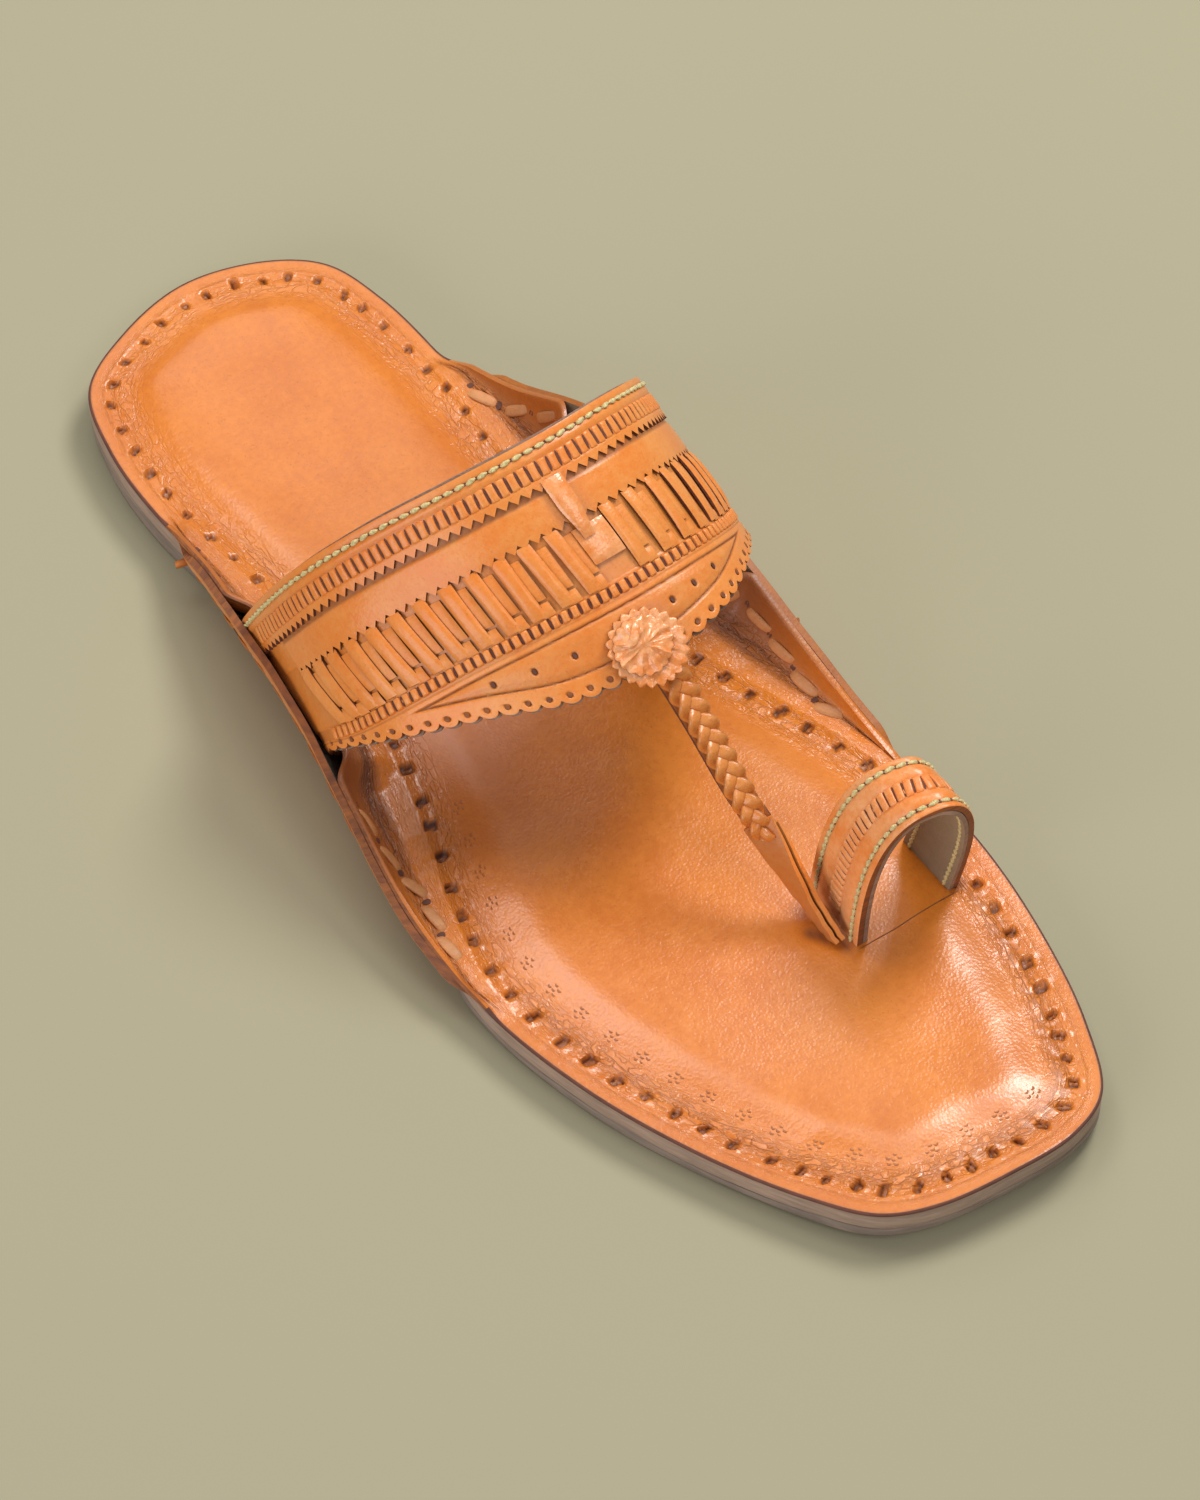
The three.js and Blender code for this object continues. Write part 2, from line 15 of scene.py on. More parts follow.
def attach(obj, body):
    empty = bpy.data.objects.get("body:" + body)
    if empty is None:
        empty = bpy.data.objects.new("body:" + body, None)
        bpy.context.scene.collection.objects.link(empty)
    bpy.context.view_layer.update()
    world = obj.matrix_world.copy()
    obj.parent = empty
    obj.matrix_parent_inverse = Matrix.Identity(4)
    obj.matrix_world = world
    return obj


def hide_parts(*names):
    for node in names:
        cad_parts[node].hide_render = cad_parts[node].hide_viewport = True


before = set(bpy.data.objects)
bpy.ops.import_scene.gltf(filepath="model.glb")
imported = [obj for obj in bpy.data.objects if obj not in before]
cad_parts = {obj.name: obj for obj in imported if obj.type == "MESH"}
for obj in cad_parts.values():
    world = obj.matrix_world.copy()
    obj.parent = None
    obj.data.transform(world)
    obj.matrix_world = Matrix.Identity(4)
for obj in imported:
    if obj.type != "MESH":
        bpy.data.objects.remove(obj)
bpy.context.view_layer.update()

bl_info = {
    "name": "Kolhapuri Sandal",
    "version": (1, 0, 0),
    "blender": (4, 5, 0),
    "location": "View3D > Sidebar > Sandal",
    "description": "Builds a toe-loop leather sandal piece by piece",
    "category": "Object",
}

MM = 0.001
TABLE_SHIFT = np.array([1.2, 1.34, 0.0])  # from the tables' centre line to the part's origin

# ------------------------------------------------------------------ the last and the pattern

# Sole outline, seen from above, from the back of the heel round by the big-toe side.
OUTLINE = np.array([
    (1.5, 136.3), (18.5, 131.2), (29, 122.5), (33.3, 108), (34.5, 90), (34, 70), (33, 45),
    (33.3, 20), (36.5, 0), (42, -18), (48, -36), (51.5, -54), (51.6, -76), (48, -99.5),
    (42.2, -119), (34, -134.3), (24, -138.6), (8.5, -138.3), (-7.8, -135.4), (-18.2, -130),
    (-26.6, -118.5), (-37.6, -97), (-47.1, -71), (-51.8, -44), (-49.5, -28), (-44.5, -13),
    (-39, 3), (-34.8, 22), (-33.5, 45), (-35, 68), (-36.9, 90), (-35.5, 110), (-30, 125.5),
    (-16, 133.2),
], float)

# Rim of the ears, front to back: y, then half width and height on each side.
EAR_RIM = {
    "y": [-50, -36, -18, 0, 18, 35, 52, 70, 88],
    "lateral_x": [51.5, 52.8, 52.9, 50.9, 47.9, 45.3, 42.7, 39.0, 37.2],
    "lateral_z": [8.8, 9.3, 13.8, 21.3, 26.9, 28.0, 24.1, 17.1, 10.9],
    "medial_x": [51.0, 50.0, 48.9, 48.3, 47.9, 46.5, 43.3, 40.1, 36.2],
    "medial_z": [9.0, 12.6, 18.6, 24.1, 28.1, 31.0, 26.6, 16.0, 10.9],
}
SIDES = {
    "lateral": {"sign": -1, "back": 80, "front": -39, "band_back": 52, "band_front": 13.5,
                "tuck_back": 55, "tuck_front": 17},
    "medial": {"sign": 1, "back": 80, "front": -45, "band_back": 48, "band_front": 4,
               "tuck_back": 51, "tuck_front": 8},
}

# Instep band between the ears: back edge and front edge, lateral to medial.
BAND_BACK = [(-38.8, 38.9, 53.6), (-27.6, 29.2, 71.5), (-11.7, 21.1, 83.2), (6.5, 17.2, 87.9),
             (23.8, 19.4, 83.9), (36.5, 26.5, 70.8), (43.7, 36.7, 52.1)]
BAND_FRONT = [(-41.1, -0.7, 42.4), (-27.1, -12.6, 51.6), (-10.9, -23.1, 56.8), (6.4, -27.0, 61.0),
              (23.5, -24.1, 61.3), (36.6, -14.4, 54.2), (45.7, -2.7, 41.4)]

# Thong from under the rosette to its slot: place, width and how far it is turned on edge.
THONG = {
    "x": [6.3, 6.4, 7.4, 8.2, 9.6, 11.2, 12.4, 13.0],
    "y": [-14.0, -25.0, -37.0, -49.0, -59.0, -67.0, -72.0, -74.2],
    "z": [66.6, 59.0, 49.0, 38.0, 28.2, 18.8, 13.4, 10.8],
    "width": [8.4, 8.4, 8.0, 7.6, 7.2, 7.0, 7.0, 7.0],
    "turn": [0, 0, 0, 10, 58, 88, 96, 96],
}

# Toe loop: both edges as arches over the big toe.
LOOP_FRONT = {"inner": (15.5, -78.6), "outer": (41.6, -78.2), "crown": 55.4, "lean": -5.4, "skew": 0.9}
LOOP_BACK = {"inner": (17.0, -61.0), "outer": (41.4, -63.5), "crown": 55.0, "lean": -7.0, "skew": 0.6}
LOOP_FOOT = 8.2
LOOP_ROUNDNESS = 2.45
LOOP_RISE_SKEW = 0.1

# Layers of the sole.
OUTSOLE_THICK = 2.4
MIDSOLE_THICK = 3.8
LAYER_GAP = 0.3
TOP_LEATHER = 1.8
HEEL_LIFT = 1.8
TOE_SPRING = 3.0
EAR_THICK = 1.6
EAR_SETBACK = 1.3
EAR_LINING = 1.5
POCKET = 3.7          # room between ear and lining for the band's end
POCKET_DROP = 0.12    # share of an ear's height by which the lining stops short there
CORE_SHARE = 0.9      # how far towards the centre line a layer's flat core is drawn
CORE_INSETS = (14, 4.5)


# ------------------------------------------------------------------ small maths

def smooth(low, high, value):
    """0 at low, 1 at high, smooth in between; low may be the larger."""
    t = np.clip((np.asarray(value, float) - low) / (high - low), 0, 1)
    return t * t * (3 - 2 * t)


def bump_at(value, centre, width):
    """1 at centre, falling to 0 at half a width either side."""
    return smooth(0, 1, 1 - np.abs(np.asarray(value, float) - centre) / (width / 2))


class Rail:
    """Smooth curve through values at rising keys; values may be numbers or points."""

    def __init__(self, keys, values):
        self.keys = np.asarray(keys, float)
        self.values = np.asarray(values, float)
        low = np.maximum(np.arange(len(self.keys)) - 1, 0)
        high = np.minimum(np.arange(len(self.keys)) + 1, len(self.keys) - 1)
        run = (self.keys[high] - self.keys[low]).reshape((-1,) + (1,) * (self.values.ndim - 1))
        self.slopes = (self.values[high] - self.values[low]) / run

    def __call__(self, key):
        key = np.clip(np.asarray(key, float), self.keys[0], self.keys[-1])
        i = np.clip(np.searchsorted(self.keys, key, "right") - 1, 0, len(self.keys) - 2)
        step = self.keys[i + 1] - self.keys[i]
        t = (key - self.keys[i]) / step
        shape = t.shape + (1,) * (self.values.ndim - 1)
        t, step = t.reshape(shape), step.reshape(shape)
        t2, t3 = t * t, t * t * t
        return ((2 * t3 - 3 * t2 + 1) * self.values[i] + (t3 - 2 * t2 + t) * step * self.slopes[i]
                + (3 * t2 - 2 * t3) * self.values[i + 1] + (t3 - t2) * step * self.slopes[i + 1])


def even_rows(values):
    """Rail with its values evenly spaced from 0 to 1."""
    return Rail(np.linspace(0, 1, len(values)), values)


def unit(v):
    return v / np.maximum(np.linalg.norm(v, axis=-1, keepdims=True), 1e-9)


def run_length(points):
    """Distance along a row of points, from its start."""
    steps = np.linalg.norm(np.diff(points, axis=0), axis=1)
    return np.concatenate([[0], np.cumsum(steps)])


def soft_noise(x, y, seed=0):
    """Smooth repeatable unevenness between about -1 and 1 from a few crossed waves."""
    turn = np.random.default_rng(seed).uniform(0, 2 * np.pi, 6)
    return (np.sin(x + turn[0]) * np.cos(0.83 * y + turn[1])
            + 0.6 * np.sin(1.9 * x - 1.3 * y + turn[2]) * np.cos(0.7 * x + turn[3])
            + 0.4 * np.sin(3.1 * y + 1.7 * x + turn[4]) * np.cos(2.3 * y + turn[5])) / 1.6


def smooth_outline(count):
    """Even points round the sole's outline."""
    fine = []
    n = len(OUTLINE)
    for i in range(n):
        p0, p1, p2, p3 = (OUTLINE[(i + k) % n] for k in (-1, 0, 1, 2))
        d0, d1, d2 = (max(np.linalg.norm(b - a), 1e-6) ** 0.5 for a, b in ((p0, p1), (p1, p2), (p2, p3)))
        m1 = ((p1 - p0) / d0 - (p2 - p0) / (d0 + d1) + (p2 - p1) / d1) * d1
        m2 = ((p2 - p1) / d1 - (p3 - p1) / (d1 + d2) + (p3 - p2) / d2) * d1
        t = np.linspace(0, 1, 40, endpoint=False)[:, None]
        fine.append((2 * t**3 - 3 * t**2 + 1) * p1 + (t**3 - 2 * t**2 + t) * m1
                    + (3 * t**2 - 2 * t**3) * p2 + (t**3 - t**2) * m2)
    fine = np.concatenate(fine + [OUTLINE[:1]])
    arc = run_length(fine)
    at = np.linspace(0, arc[-1], count, endpoint=False)
    return np.stack([np.interp(at, arc, fine[:, k]) for k in (0, 1)], 1), arc[-1]


OUTLINE_FINE, OUTLINE_LENGTH = smooth_outline(1440)


# ------------------------------------------------------------------ sole and ears as functions

def lift(y):
    """Height that the heel layer and the toe spring add to the sole's layers."""
    spring = np.clip((-90 - np.asarray(y, float)) / 48, 0, 1)
    return HEEL_LIFT * smooth(-18, 38, y) + TOE_SPRING * spring**2


def midsole_base(y):
    return OUTSOLE_THICK + LAYER_GAP + lift(y)


def insole_base(y):
    return midsole_base(y) + MIDSOLE_THICK + LAYER_GAP


def insole_edge(y):
    return insole_base(y) + TOP_LEATHER


def spine(points):
    """Places on the sole's centre line level with points; it bends towards the big toe."""
    y = np.clip(points[:, 1], -108, 104)
    return np.stack([10 * smooth(60, -100, y), y], 1)


def half_width(sign, y):
    """Half width of the sole on one side at y."""
    side = OUTLINE_FINE[sign * OUTLINE_FINE[:, 0] > 6]
    order = np.argsort(side[:, 1])
    return np.interp(y, side[order, 1], sign * side[order, 0])


def ear_point(side, y, t, inset):
    """Point in an ear's section: t 0 at the sole's edge, 1 at the rim; inset moves it inwards."""
    sign = SIDES[side]["sign"]
    y, t, inset = np.broadcast_arrays(np.asarray(y, float), t, inset)
    base = np.stack([half_width(sign, y) - EAR_SETBACK, insole_base(y) + EAR_THICK], -1)
    rim = np.stack([Rail(EAR_RIM["y"], EAR_RIM[side + "_x"])(y),
                    Rail(EAR_RIM["y"], EAR_RIM[side + "_z"])(y)], -1)
    turn = np.stack([base[..., 0] + 0.85 * (rim[..., 0] - base[..., 0]), base[..., 1]], -1)
    low = base + (turn - base) * t[..., None]
    high = turn + (rim - turn) * t[..., None]
    along = unit(high - low)
    place = low + (high - low) * t[..., None]
    return np.stack([sign * (place[..., 0] - along[..., 1] * inset), y,
                     place[..., 1] + along[..., 0] * inset], -1)


def pocket(side, y):
    """1 where an ear stands off its lining to take the band's end, fading to 0 beside it."""
    s = SIDES[side]
    return (smooth(s["band_back"] + 9, s["band_back"] + 1, y)
            * smooth(s["band_front"] - 6, s["band_front"] + 0.5, y))


def ear_weight(side, y):
    """1 where the sole's side is an ear, 0 beyond its ends."""
    s = SIDES[side]
    return smooth(s["back"] + 11, s["back"] + 1, y) * smooth(s["front"] - 11, s["front"] - 1, y)


# ------------------------------------------------------------------ band as a surface

def band_rails():
    def entry(side, t, back, front):
        s = SIDES[side]
        return [ear_point(side, s[back], t, 1.6), ear_point(side, s[front], t, 1.6)]
    lateral_tuck = entry("lateral", 0.5, "tuck_back", "tuck_front")
    lateral_rim = entry("lateral", 1, "band_back", "band_front")
    medial_rim = entry("medial", 1, "band_back", "band_front")
    medial_tuck = entry("medial", 0.5, "tuck_back", "tuck_front")
    back = [lateral_tuck[0], lateral_rim[0], *BAND_BACK, medial_rim[0], medial_tuck[0]]
    front = [lateral_tuck[1], lateral_rim[1], *BAND_FRONT, medial_rim[1], medial_tuck[1]]
    return even_rows(np.array(back, float)), even_rows(np.array(front, float))


BAND_BACK_RAIL, BAND_FRONT_RAIL = band_rails()
BAND_T = np.linspace(0, 1, 1201)
BAND_WIDTHS = np.linalg.norm(BAND_FRONT_RAIL(BAND_T) - BAND_BACK_RAIL(BAND_T), axis=1)


def band_width(t):
    return np.interp(t, BAND_T, BAND_WIDTHS)


def band_point(t, b):
    """Point of the band's outer face: t from end to end, b millimetres from the back edge."""
    t, b = np.broadcast_arrays(np.asarray(t, float), np.asarray(b, float))
    back, front = BAND_BACK_RAIL(t), BAND_FRONT_RAIL(t)
    return back + (front - back) * (b / band_width(t))[..., None]


def band_frame(t, b, height=0.0):
    """Places on the band with their along, forward and outward directions."""
    step = 2e-3
    place = band_point(t, b)
    along = unit(band_point(np.clip(t + step, 0, 1), b) - band_point(np.clip(t - step, 0, 1), b))
    forward = unit(band_point(t, b + 0.5) - band_point(t, b - 0.5))
    out = unit(np.cross(forward, along))
    return place + out * np.asarray(height, float)[..., None], along, forward, out


def band_t_at(b, lengths):
    """t of places at given arc lengths from the rosette's line, measured on row b."""
    arc = run_length(band_point(BAND_T, b))
    middle = np.interp(ROSETTE_T, BAND_T, arc)
    return np.interp(middle + lengths, arc, BAND_T)


def band_span(b, pitch, start_t, end_t):
    """Evenly spaced t along row b between two ends, about a pitch apart."""
    arc = run_length(band_point(BAND_T, b))
    low, high = np.interp([start_t, end_t], BAND_T, arc)
    count = max(2, int(round((high - low) / pitch)) + 1)
    return np.interp(np.linspace(low, high, count), arc, BAND_T)


ROSETTE_T = 0.4865
BAND_LOW_T = 0.115    # where the band leaves the lateral ear
BAND_HIGH_T = 0.885


# ------------------------------------------------------------------ meshes

def add_object(name, data):
    """New object in the scene."""
    obj = bpy.data.objects.new(name, data)
    bpy.context.scene.collection.objects.link(obj)
    return obj


def mesh_piece(name, verts, faces, finishes, face_slots=None, marks=None, sharp=40.0):
    """Object from millimetre points, turned outwards; finishes are labels of finish_named and
    marks are named point values."""
    mesh = bpy.data.meshes.new(name)
    points = (np.asarray(verts, float) + TABLE_SHIFT) * MM
    mesh.from_pydata(points.tolist(), [], [list(map(int, f)) for f in faces])
    for label in finishes:
        mesh.materials.append(finish_named(label))
    if face_slots is not None:
        mesh.polygons.foreach_set("material_index", np.asarray(face_slots, np.int32))
    for label, values in (marks or {}).items():
        layer = mesh.attributes.new(label, "FLOAT", "POINT")
        layer.data.foreach_set("value", np.asarray(values, np.float32).ravel())
    mesh.validate()
    mesh.shade_smooth()
    mesh.set_sharp_from_angle(angle=math.radians(sharp))
    obj = add_object(name, mesh)
    face_outwards(obj)
    return obj


def grid_faces(rows, columns, first=0, wrap=False, flip=False):
    """Four-sided faces over a grid of points; wrap joins its last column to its first."""
    r = np.arange(rows - 1)[:, None]
    c = np.arange(columns if wrap else columns - 1)[None, :]
    n = (c + 1) % columns
    quads = np.stack(np.broadcast_arrays(
        r * columns + c, r * columns + n, (r + 1) * columns + n, (r + 1) * columns + c), -1)
    quads = quads.reshape(-1, 4) + first
    return quads[:, ::-1] if flip else quads


def capped_rings(rows, columns):
    """Faces of a stack of rings, with one over each end."""
    sides = [list(quad) for quad in grid_faces(rows, columns, wrap=True)]
    return sides + [list(range(columns))[::-1], list(range((rows - 1) * columns, rows * columns))]


def sheet_mesh(top, out, thick, corner=0.18):
    """Closed sheet from a grid of outer points. Returns points, faces, face slots and an edge
    mark; slot 0 is the face, 1 the cut edge and 2 the back."""
    rows, columns = top.shape[:2]
    thick = np.broadcast_to(np.asarray(thick, float), (rows, columns))[..., None]
    under = top - out * thick
    rim = ([(0, c) for c in range(columns)]
           + [(r, columns - 1) for r in range(1, rows)]
           + [(rows - 1, c) for c in range(columns - 2, -1, -1)]
           + [(r, 0) for r in range(rows - 2, 0, -1)])
    ri, ci = np.array([p[0] for p in rim]), np.array([p[1] for p in rim])
    # The face's own border is drawn in a little, so that the cut edge has a rounded corner.
    face = top.copy()
    face[ri, ci] -= out[ri, ci] * corner * 0.5
    count = rows * columns
    verts = np.concatenate([face.reshape(-1, 3), under.reshape(-1, 3),
                            top[ri, ci] - out[ri, ci] * corner,
                            under[ri, ci] + out[ri, ci] * corner * 0.5])
    border = len(rim)
    flat = ri * columns + ci
    nxt = np.roll(np.arange(border), -1)
    def band(a, b):
        return np.stack([a, b, b[nxt], a[nxt]], 1)
    ring_face, ring_under = flat, flat + count
    ring_a, ring_b = 2 * count + np.arange(border), 2 * count + border + np.arange(border)
    faces = [grid_faces(rows, columns), grid_faces(rows, columns, count, flip=True),
             band(ring_face, ring_a), band(ring_a, ring_b), band(ring_b, ring_under)]
    slots = np.repeat([0, 2, 1, 1, 1], [len(f) for f in faces])
    return verts, np.concatenate(faces), slots


def sheet_piece(name, top, out, thick, finishes, marks=None, sharp=35.0, corner=0.18):
    verts, faces, slots = sheet_mesh(top, out, thick, corner)
    filled = {}
    for label, values in (marks or {}).items():
        filled[label] = np.concatenate([values.ravel(), np.zeros(len(verts) - values.size)])
    return mesh_piece(name, verts, faces, finishes, slots, filled, sharp)


def face_outwards(obj):
    """Turns the whole closed mesh round if it encloses a negative volume."""
    work = bmesh.new()
    work.from_mesh(obj.data)
    if work.calc_volume(signed=True) < 0:
        bmesh.ops.reverse_faces(work, faces=work.faces[:])
        work.to_mesh(obj.data)
    work.free()


def tube_mesh(path, side, up, widths, heights, around=12, power=2.0, taper=0.0):
    """Closed tube with an oval section along a path. Returns points and faces."""
    angle = np.linspace(0, 2 * np.pi, around, endpoint=False)
    c, s = np.cos(angle), np.sin(angle)
    ex = np.sign(c) * np.abs(c) ** (2 / power)
    ey = np.sign(s) * np.abs(s) ** (2 / power)
    ends = np.ones(len(path))
    if taper:
        run = np.linspace(0, 1, len(path))
        inside = np.clip((taper - np.minimum(run, 1 - run)) / taper, 0, 1)
        ends = np.sqrt(np.clip(1 - inside ** 2, 0.02, 1))
    wide = (ex * np.asarray(widths)[..., None] / 2)[..., None]
    high = (ey * np.asarray(heights)[..., None] / 2)[..., None]
    ring = (path[:, None] + side[:, None] * wide * ends[:, None, None]
            + up[:, None] * high * ends[:, None, None])
    return ring.reshape(-1, 3), capped_rings(len(path), around)


def join_meshes(parts):
    """One list of points and one of faces from several."""
    verts, faces, first = [], [], 0
    for v, f in parts:
        verts.append(np.asarray(v))
        faces += [[int(k) + first for k in face] for face in f]
        first += len(v)
    return np.concatenate(verts), faces


def turn_of(along, out):
    """Euler angles that carry X to along and Z to out."""
    turns = []
    for a, o in zip(along, out):
        z = Vector(o).normalized()
        x = (Vector(a) - z * Vector(a).dot(z)).normalized()
        turns.append(Matrix((x, z.cross(x), z)).transposed().to_euler())
    return np.array(turns)


# ------------------------------------------------------------------ repeats

REPEAT_SEED = 3


def live(sockets, name=None):
    """The socket that a node's data type leaves in use."""
    return next(s for s in sockets if s.enabled and name in (None, s.name))


def repeat_tree():
    """Node group that sets one shape at every point and joins the copies into one mesh."""
    if "Leatherwork Repeat" in bpy.data.node_groups:
        return bpy.data.node_groups["Leatherwork Repeat"]
    tree = bpy.data.node_groups.new("Leatherwork Repeat", "GeometryNodeTree")
    face = tree.interface
    face.new_socket("Geometry", in_out="INPUT", socket_type="NodeSocketGeometry")
    face.new_socket("Shape", in_out="INPUT", socket_type="NodeSocketObject")
    face.new_socket("Finish", in_out="INPUT", socket_type="NodeSocketMaterial")
    wander = face.new_socket("Hand Wander", in_out="INPUT", socket_type="NodeSocketFloat")
    wander.subtype = "ANGLE"
    uneven = face.new_socket("Uneven Size", in_out="INPUT", socket_type="NodeSocketFloat")
    seed = face.new_socket("Seed", in_out="INPUT", socket_type="NodeSocketInt")
    wander.default_value, uneven.default_value, seed.default_value = 0.04, 0.06, REPEAT_SEED
    face.new_socket("Geometry", in_out="OUTPUT", socket_type="NodeSocketGeometry")
    add = tree.nodes.new
    link = tree.links.new
    source, target = add("NodeGroupInput"), add("NodeGroupOutput")
    info, copies = add("GeometryNodeObjectInfo"), add("GeometryNodeInstanceOnPoints")
    turn, span = add("GeometryNodeInputNamedAttribute"), add("GeometryNodeInputNamedAttribute")
    for node, label in ((turn, "turn"), (span, "span")):
        node.data_type = "FLOAT_VECTOR"
        node.inputs["Name"].default_value = label
    drift, sizes = add("FunctionNodeRandomValue"), add("FunctionNodeRandomValue")
    drift.data_type, sizes.data_type = "FLOAT", "FLOAT"
    for node in (drift, sizes):
        link(source.outputs["Seed"], node.inputs["Seed"])
    low, high = add("ShaderNodeMath"), add("ShaderNodeMath")
    low.operation, high.operation = "MULTIPLY", "ADD"
    low.inputs[1].default_value, high.inputs[1].default_value = -1.0, 1.0
    link(source.outputs["Hand Wander"], low.inputs[0])
    link(low.outputs[0], live(drift.inputs, "Min"))
    link(source.outputs["Hand Wander"], live(drift.inputs, "Max"))
    live(sizes.inputs, "Min").default_value = 1.0
    link(source.outputs["Uneven Size"], high.inputs[0])
    link(high.outputs[0], live(sizes.inputs, "Max"))
    spin, scaled = add("ShaderNodeCombineXYZ"), add("ShaderNodeVectorMath")
    link(live(drift.outputs), spin.inputs["Z"])
    scaled.operation = "SCALE"
    link(live(span.outputs), scaled.inputs[0])
    link(live(sizes.outputs), scaled.inputs["Scale"])
    rotate = add("GeometryNodeRotateInstances")
    realize, finish = add("GeometryNodeRealizeInstances"), add("GeometryNodeSetMaterial")
    link(source.outputs["Shape"], info.inputs["Object"])
    link(source.outputs["Geometry"], copies.inputs["Points"])
    link(info.outputs["Geometry"], copies.inputs["Instance"])
    link(live(turn.outputs), copies.inputs["Rotation"])
    link(scaled.outputs[0], copies.inputs["Scale"])
    link(copies.outputs[0], rotate.inputs["Instances"])
    link(spin.outputs[0], rotate.inputs["Rotation"])
    rotate.inputs["Local Space"].default_value = True
    link(rotate.outputs[0], realize.inputs[0])
    link(realize.outputs[0], finish.inputs["Geometry"])
    link(source.outputs["Finish"], finish.inputs["Material"])
    link(finish.outputs[0], target.inputs[0])
    return tree


def repeat(name, shape, finish, frames, span, wander=0.04, uneven=0.06):
    """One mesh of copies of shape, a unit-millimetre object, stretched to span and set at frames:
    places with their along, forward and outward directions."""
    places, along, _, out = frames
    points = bpy.data.meshes.new(name + "_points")
    points.from_pydata(((np.asarray(places) + TABLE_SHIFT) * MM).tolist(), [], [])
    spans = np.broadcast_to(span, (len(places), 3))
    for label, values in (("turn", turn_of(along, out)), ("span", spans)):
        layer = points.attributes.new(label, "FLOAT_VECTOR", "POINT")
        layer.data.foreach_set("vector", np.ascontiguousarray(values, np.float32).ravel())
    carrier = add_object(name, points)
    modifier = carrier.modifiers.new("repeat", "NODES")
    tree = repeat_tree()
    modifier.node_group = tree
    values = {"Shape": shape, "Finish": finish_named(finish), "Hand Wander": wander,
              "Uneven Size": uneven, "Seed": REPEAT_SEED}
    for item in tree.interface.items_tree:
        if item.in_out == "INPUT" and item.name in values:
            modifier[item.identifier] = values[item.name]
    return freeze(carrier, name)


def joined(groups):
    """One set of frames from several."""
    return [np.concatenate(parts) for parts in zip(*groups)]


def freeze(obj, name):
    """Replaces an object by the plain mesh of its evaluated state."""
    graph = bpy.context.evaluated_depsgraph_get()
    graph.update()
    mesh = bpy.data.meshes.new_from_object(obj.evaluated_get(graph))
    bpy.data.objects.remove(obj)
    mesh.name = name
    return add_object(name, mesh)


def template(name, verts, faces, sharp=40.0):
    """A unit shape in millimetres at the origin, hidden, for repeat()."""
    if name in bpy.data.objects:
        return bpy.data.objects[name]
    mesh = bpy.data.meshes.new(name)
    mesh.from_pydata((np.asarray(verts, float) * MM).tolist(), [], [list(map(int, f)) for f in faces])
    mesh.shade_smooth()
    mesh.set_sharp_from_angle(angle=math.radians(sharp))
    obj = add_object(name, mesh)
    TEMPLATES.append(obj)
    obj.hide_render = True
    face_outwards(obj)
    return obj


TEMPLATES = []


def pad_shape():
    """Rounded bar, 1 by 1 by 1, standing on its base."""
    rows = []
    for z, inset in ((0.0, 0.0), (0.55, 0.0), (0.85, 0.1), (1.0, 0.3)):
        hx, hy = 0.5 - inset * 0.8, 0.5 - inset * 0.45
        ring = []
        for cx, cy in ((1, -1), (1, 1), (-1, 1), (-1, -1)):
            corner = [(cx * hx, cy * (hy - 0.08), z), (cx * (hx - 0.12), cy * hy, z)]
            ring += corner[::-1 if cx * cy < 0 else 1]
        rows.append(ring)
    return template("pad_shape", np.array(rows).reshape(-1, 3), capped_rings(4, 8), 50)


def stitch_shape():
    """One sewn stitch of two-ply thread, 1 long, dipping into the leather at both ends."""
    run = np.linspace(-0.5, 0.5, 9)
    angle = np.linspace(0, 2 * np.pi, 10, endpoint=False)
    verts = []
    for x in run:
        swell = math.sqrt(max(0.05, 1 - (abs(x) * 1.9) ** 4))
        ply = 1 + 0.22 * np.cos(2 * angle - 7.0 * x)
        dip = 0.9 * abs(2 * x) ** 3 * 0.5
        verts += [(x, 0.5 * swell * p * math.cos(a), 0.5 * swell * p * math.sin(a) - dip)
                  for a, p in zip(angle, ply)]
    return template("stitch_shape", verts, capped_rings(len(run), len(angle)), 180)


def dimple_shape():
    """Low round dot; pressed flowers use it as a dent, and in a dark finish it is painted shade standing for
    a hole or slit.
    """
    rings = ((0.56, -0.4), (0.6, -0.05), (0.52, 0.06), (0.3, 0.03), (0.08, 0.0))
    angle = np.linspace(0, 2 * np.pi, 14, endpoint=False)
    verts = [(r * math.cos(a), r * math.sin(a), z) for r, z in rings for a in angle]
    return template("dimple_shape", verts, capped_rings(len(rings), len(angle)), 60)


def lace_shape():
    """Flat leather thong stitch, 1 long and 1 wide, arched, pointed where it dives in."""
    run = np.linspace(-0.5, 0.5, 13)
    path = np.stack([run, 0.5 * run, 0.45 - 1.5 * np.abs(run * 2) ** 4], 1)
    side = np.tile([0.0, 1.0, 0.0], (13, 1)) + np.outer(run, [0.0, 0.0, 0.5])
    up = np.tile([0.0, 0.0, 1.0], (13, 1))
    width = 1 - 0.45 * np.abs(run * 2) ** 2.2
    verts, faces = tube_mesh(path, unit(side), up, width, np.full(13, 0.8), 10, 3.2)
    return template("lace_shape", verts, faces, 60)


# ------------------------------------------------------------------ materials

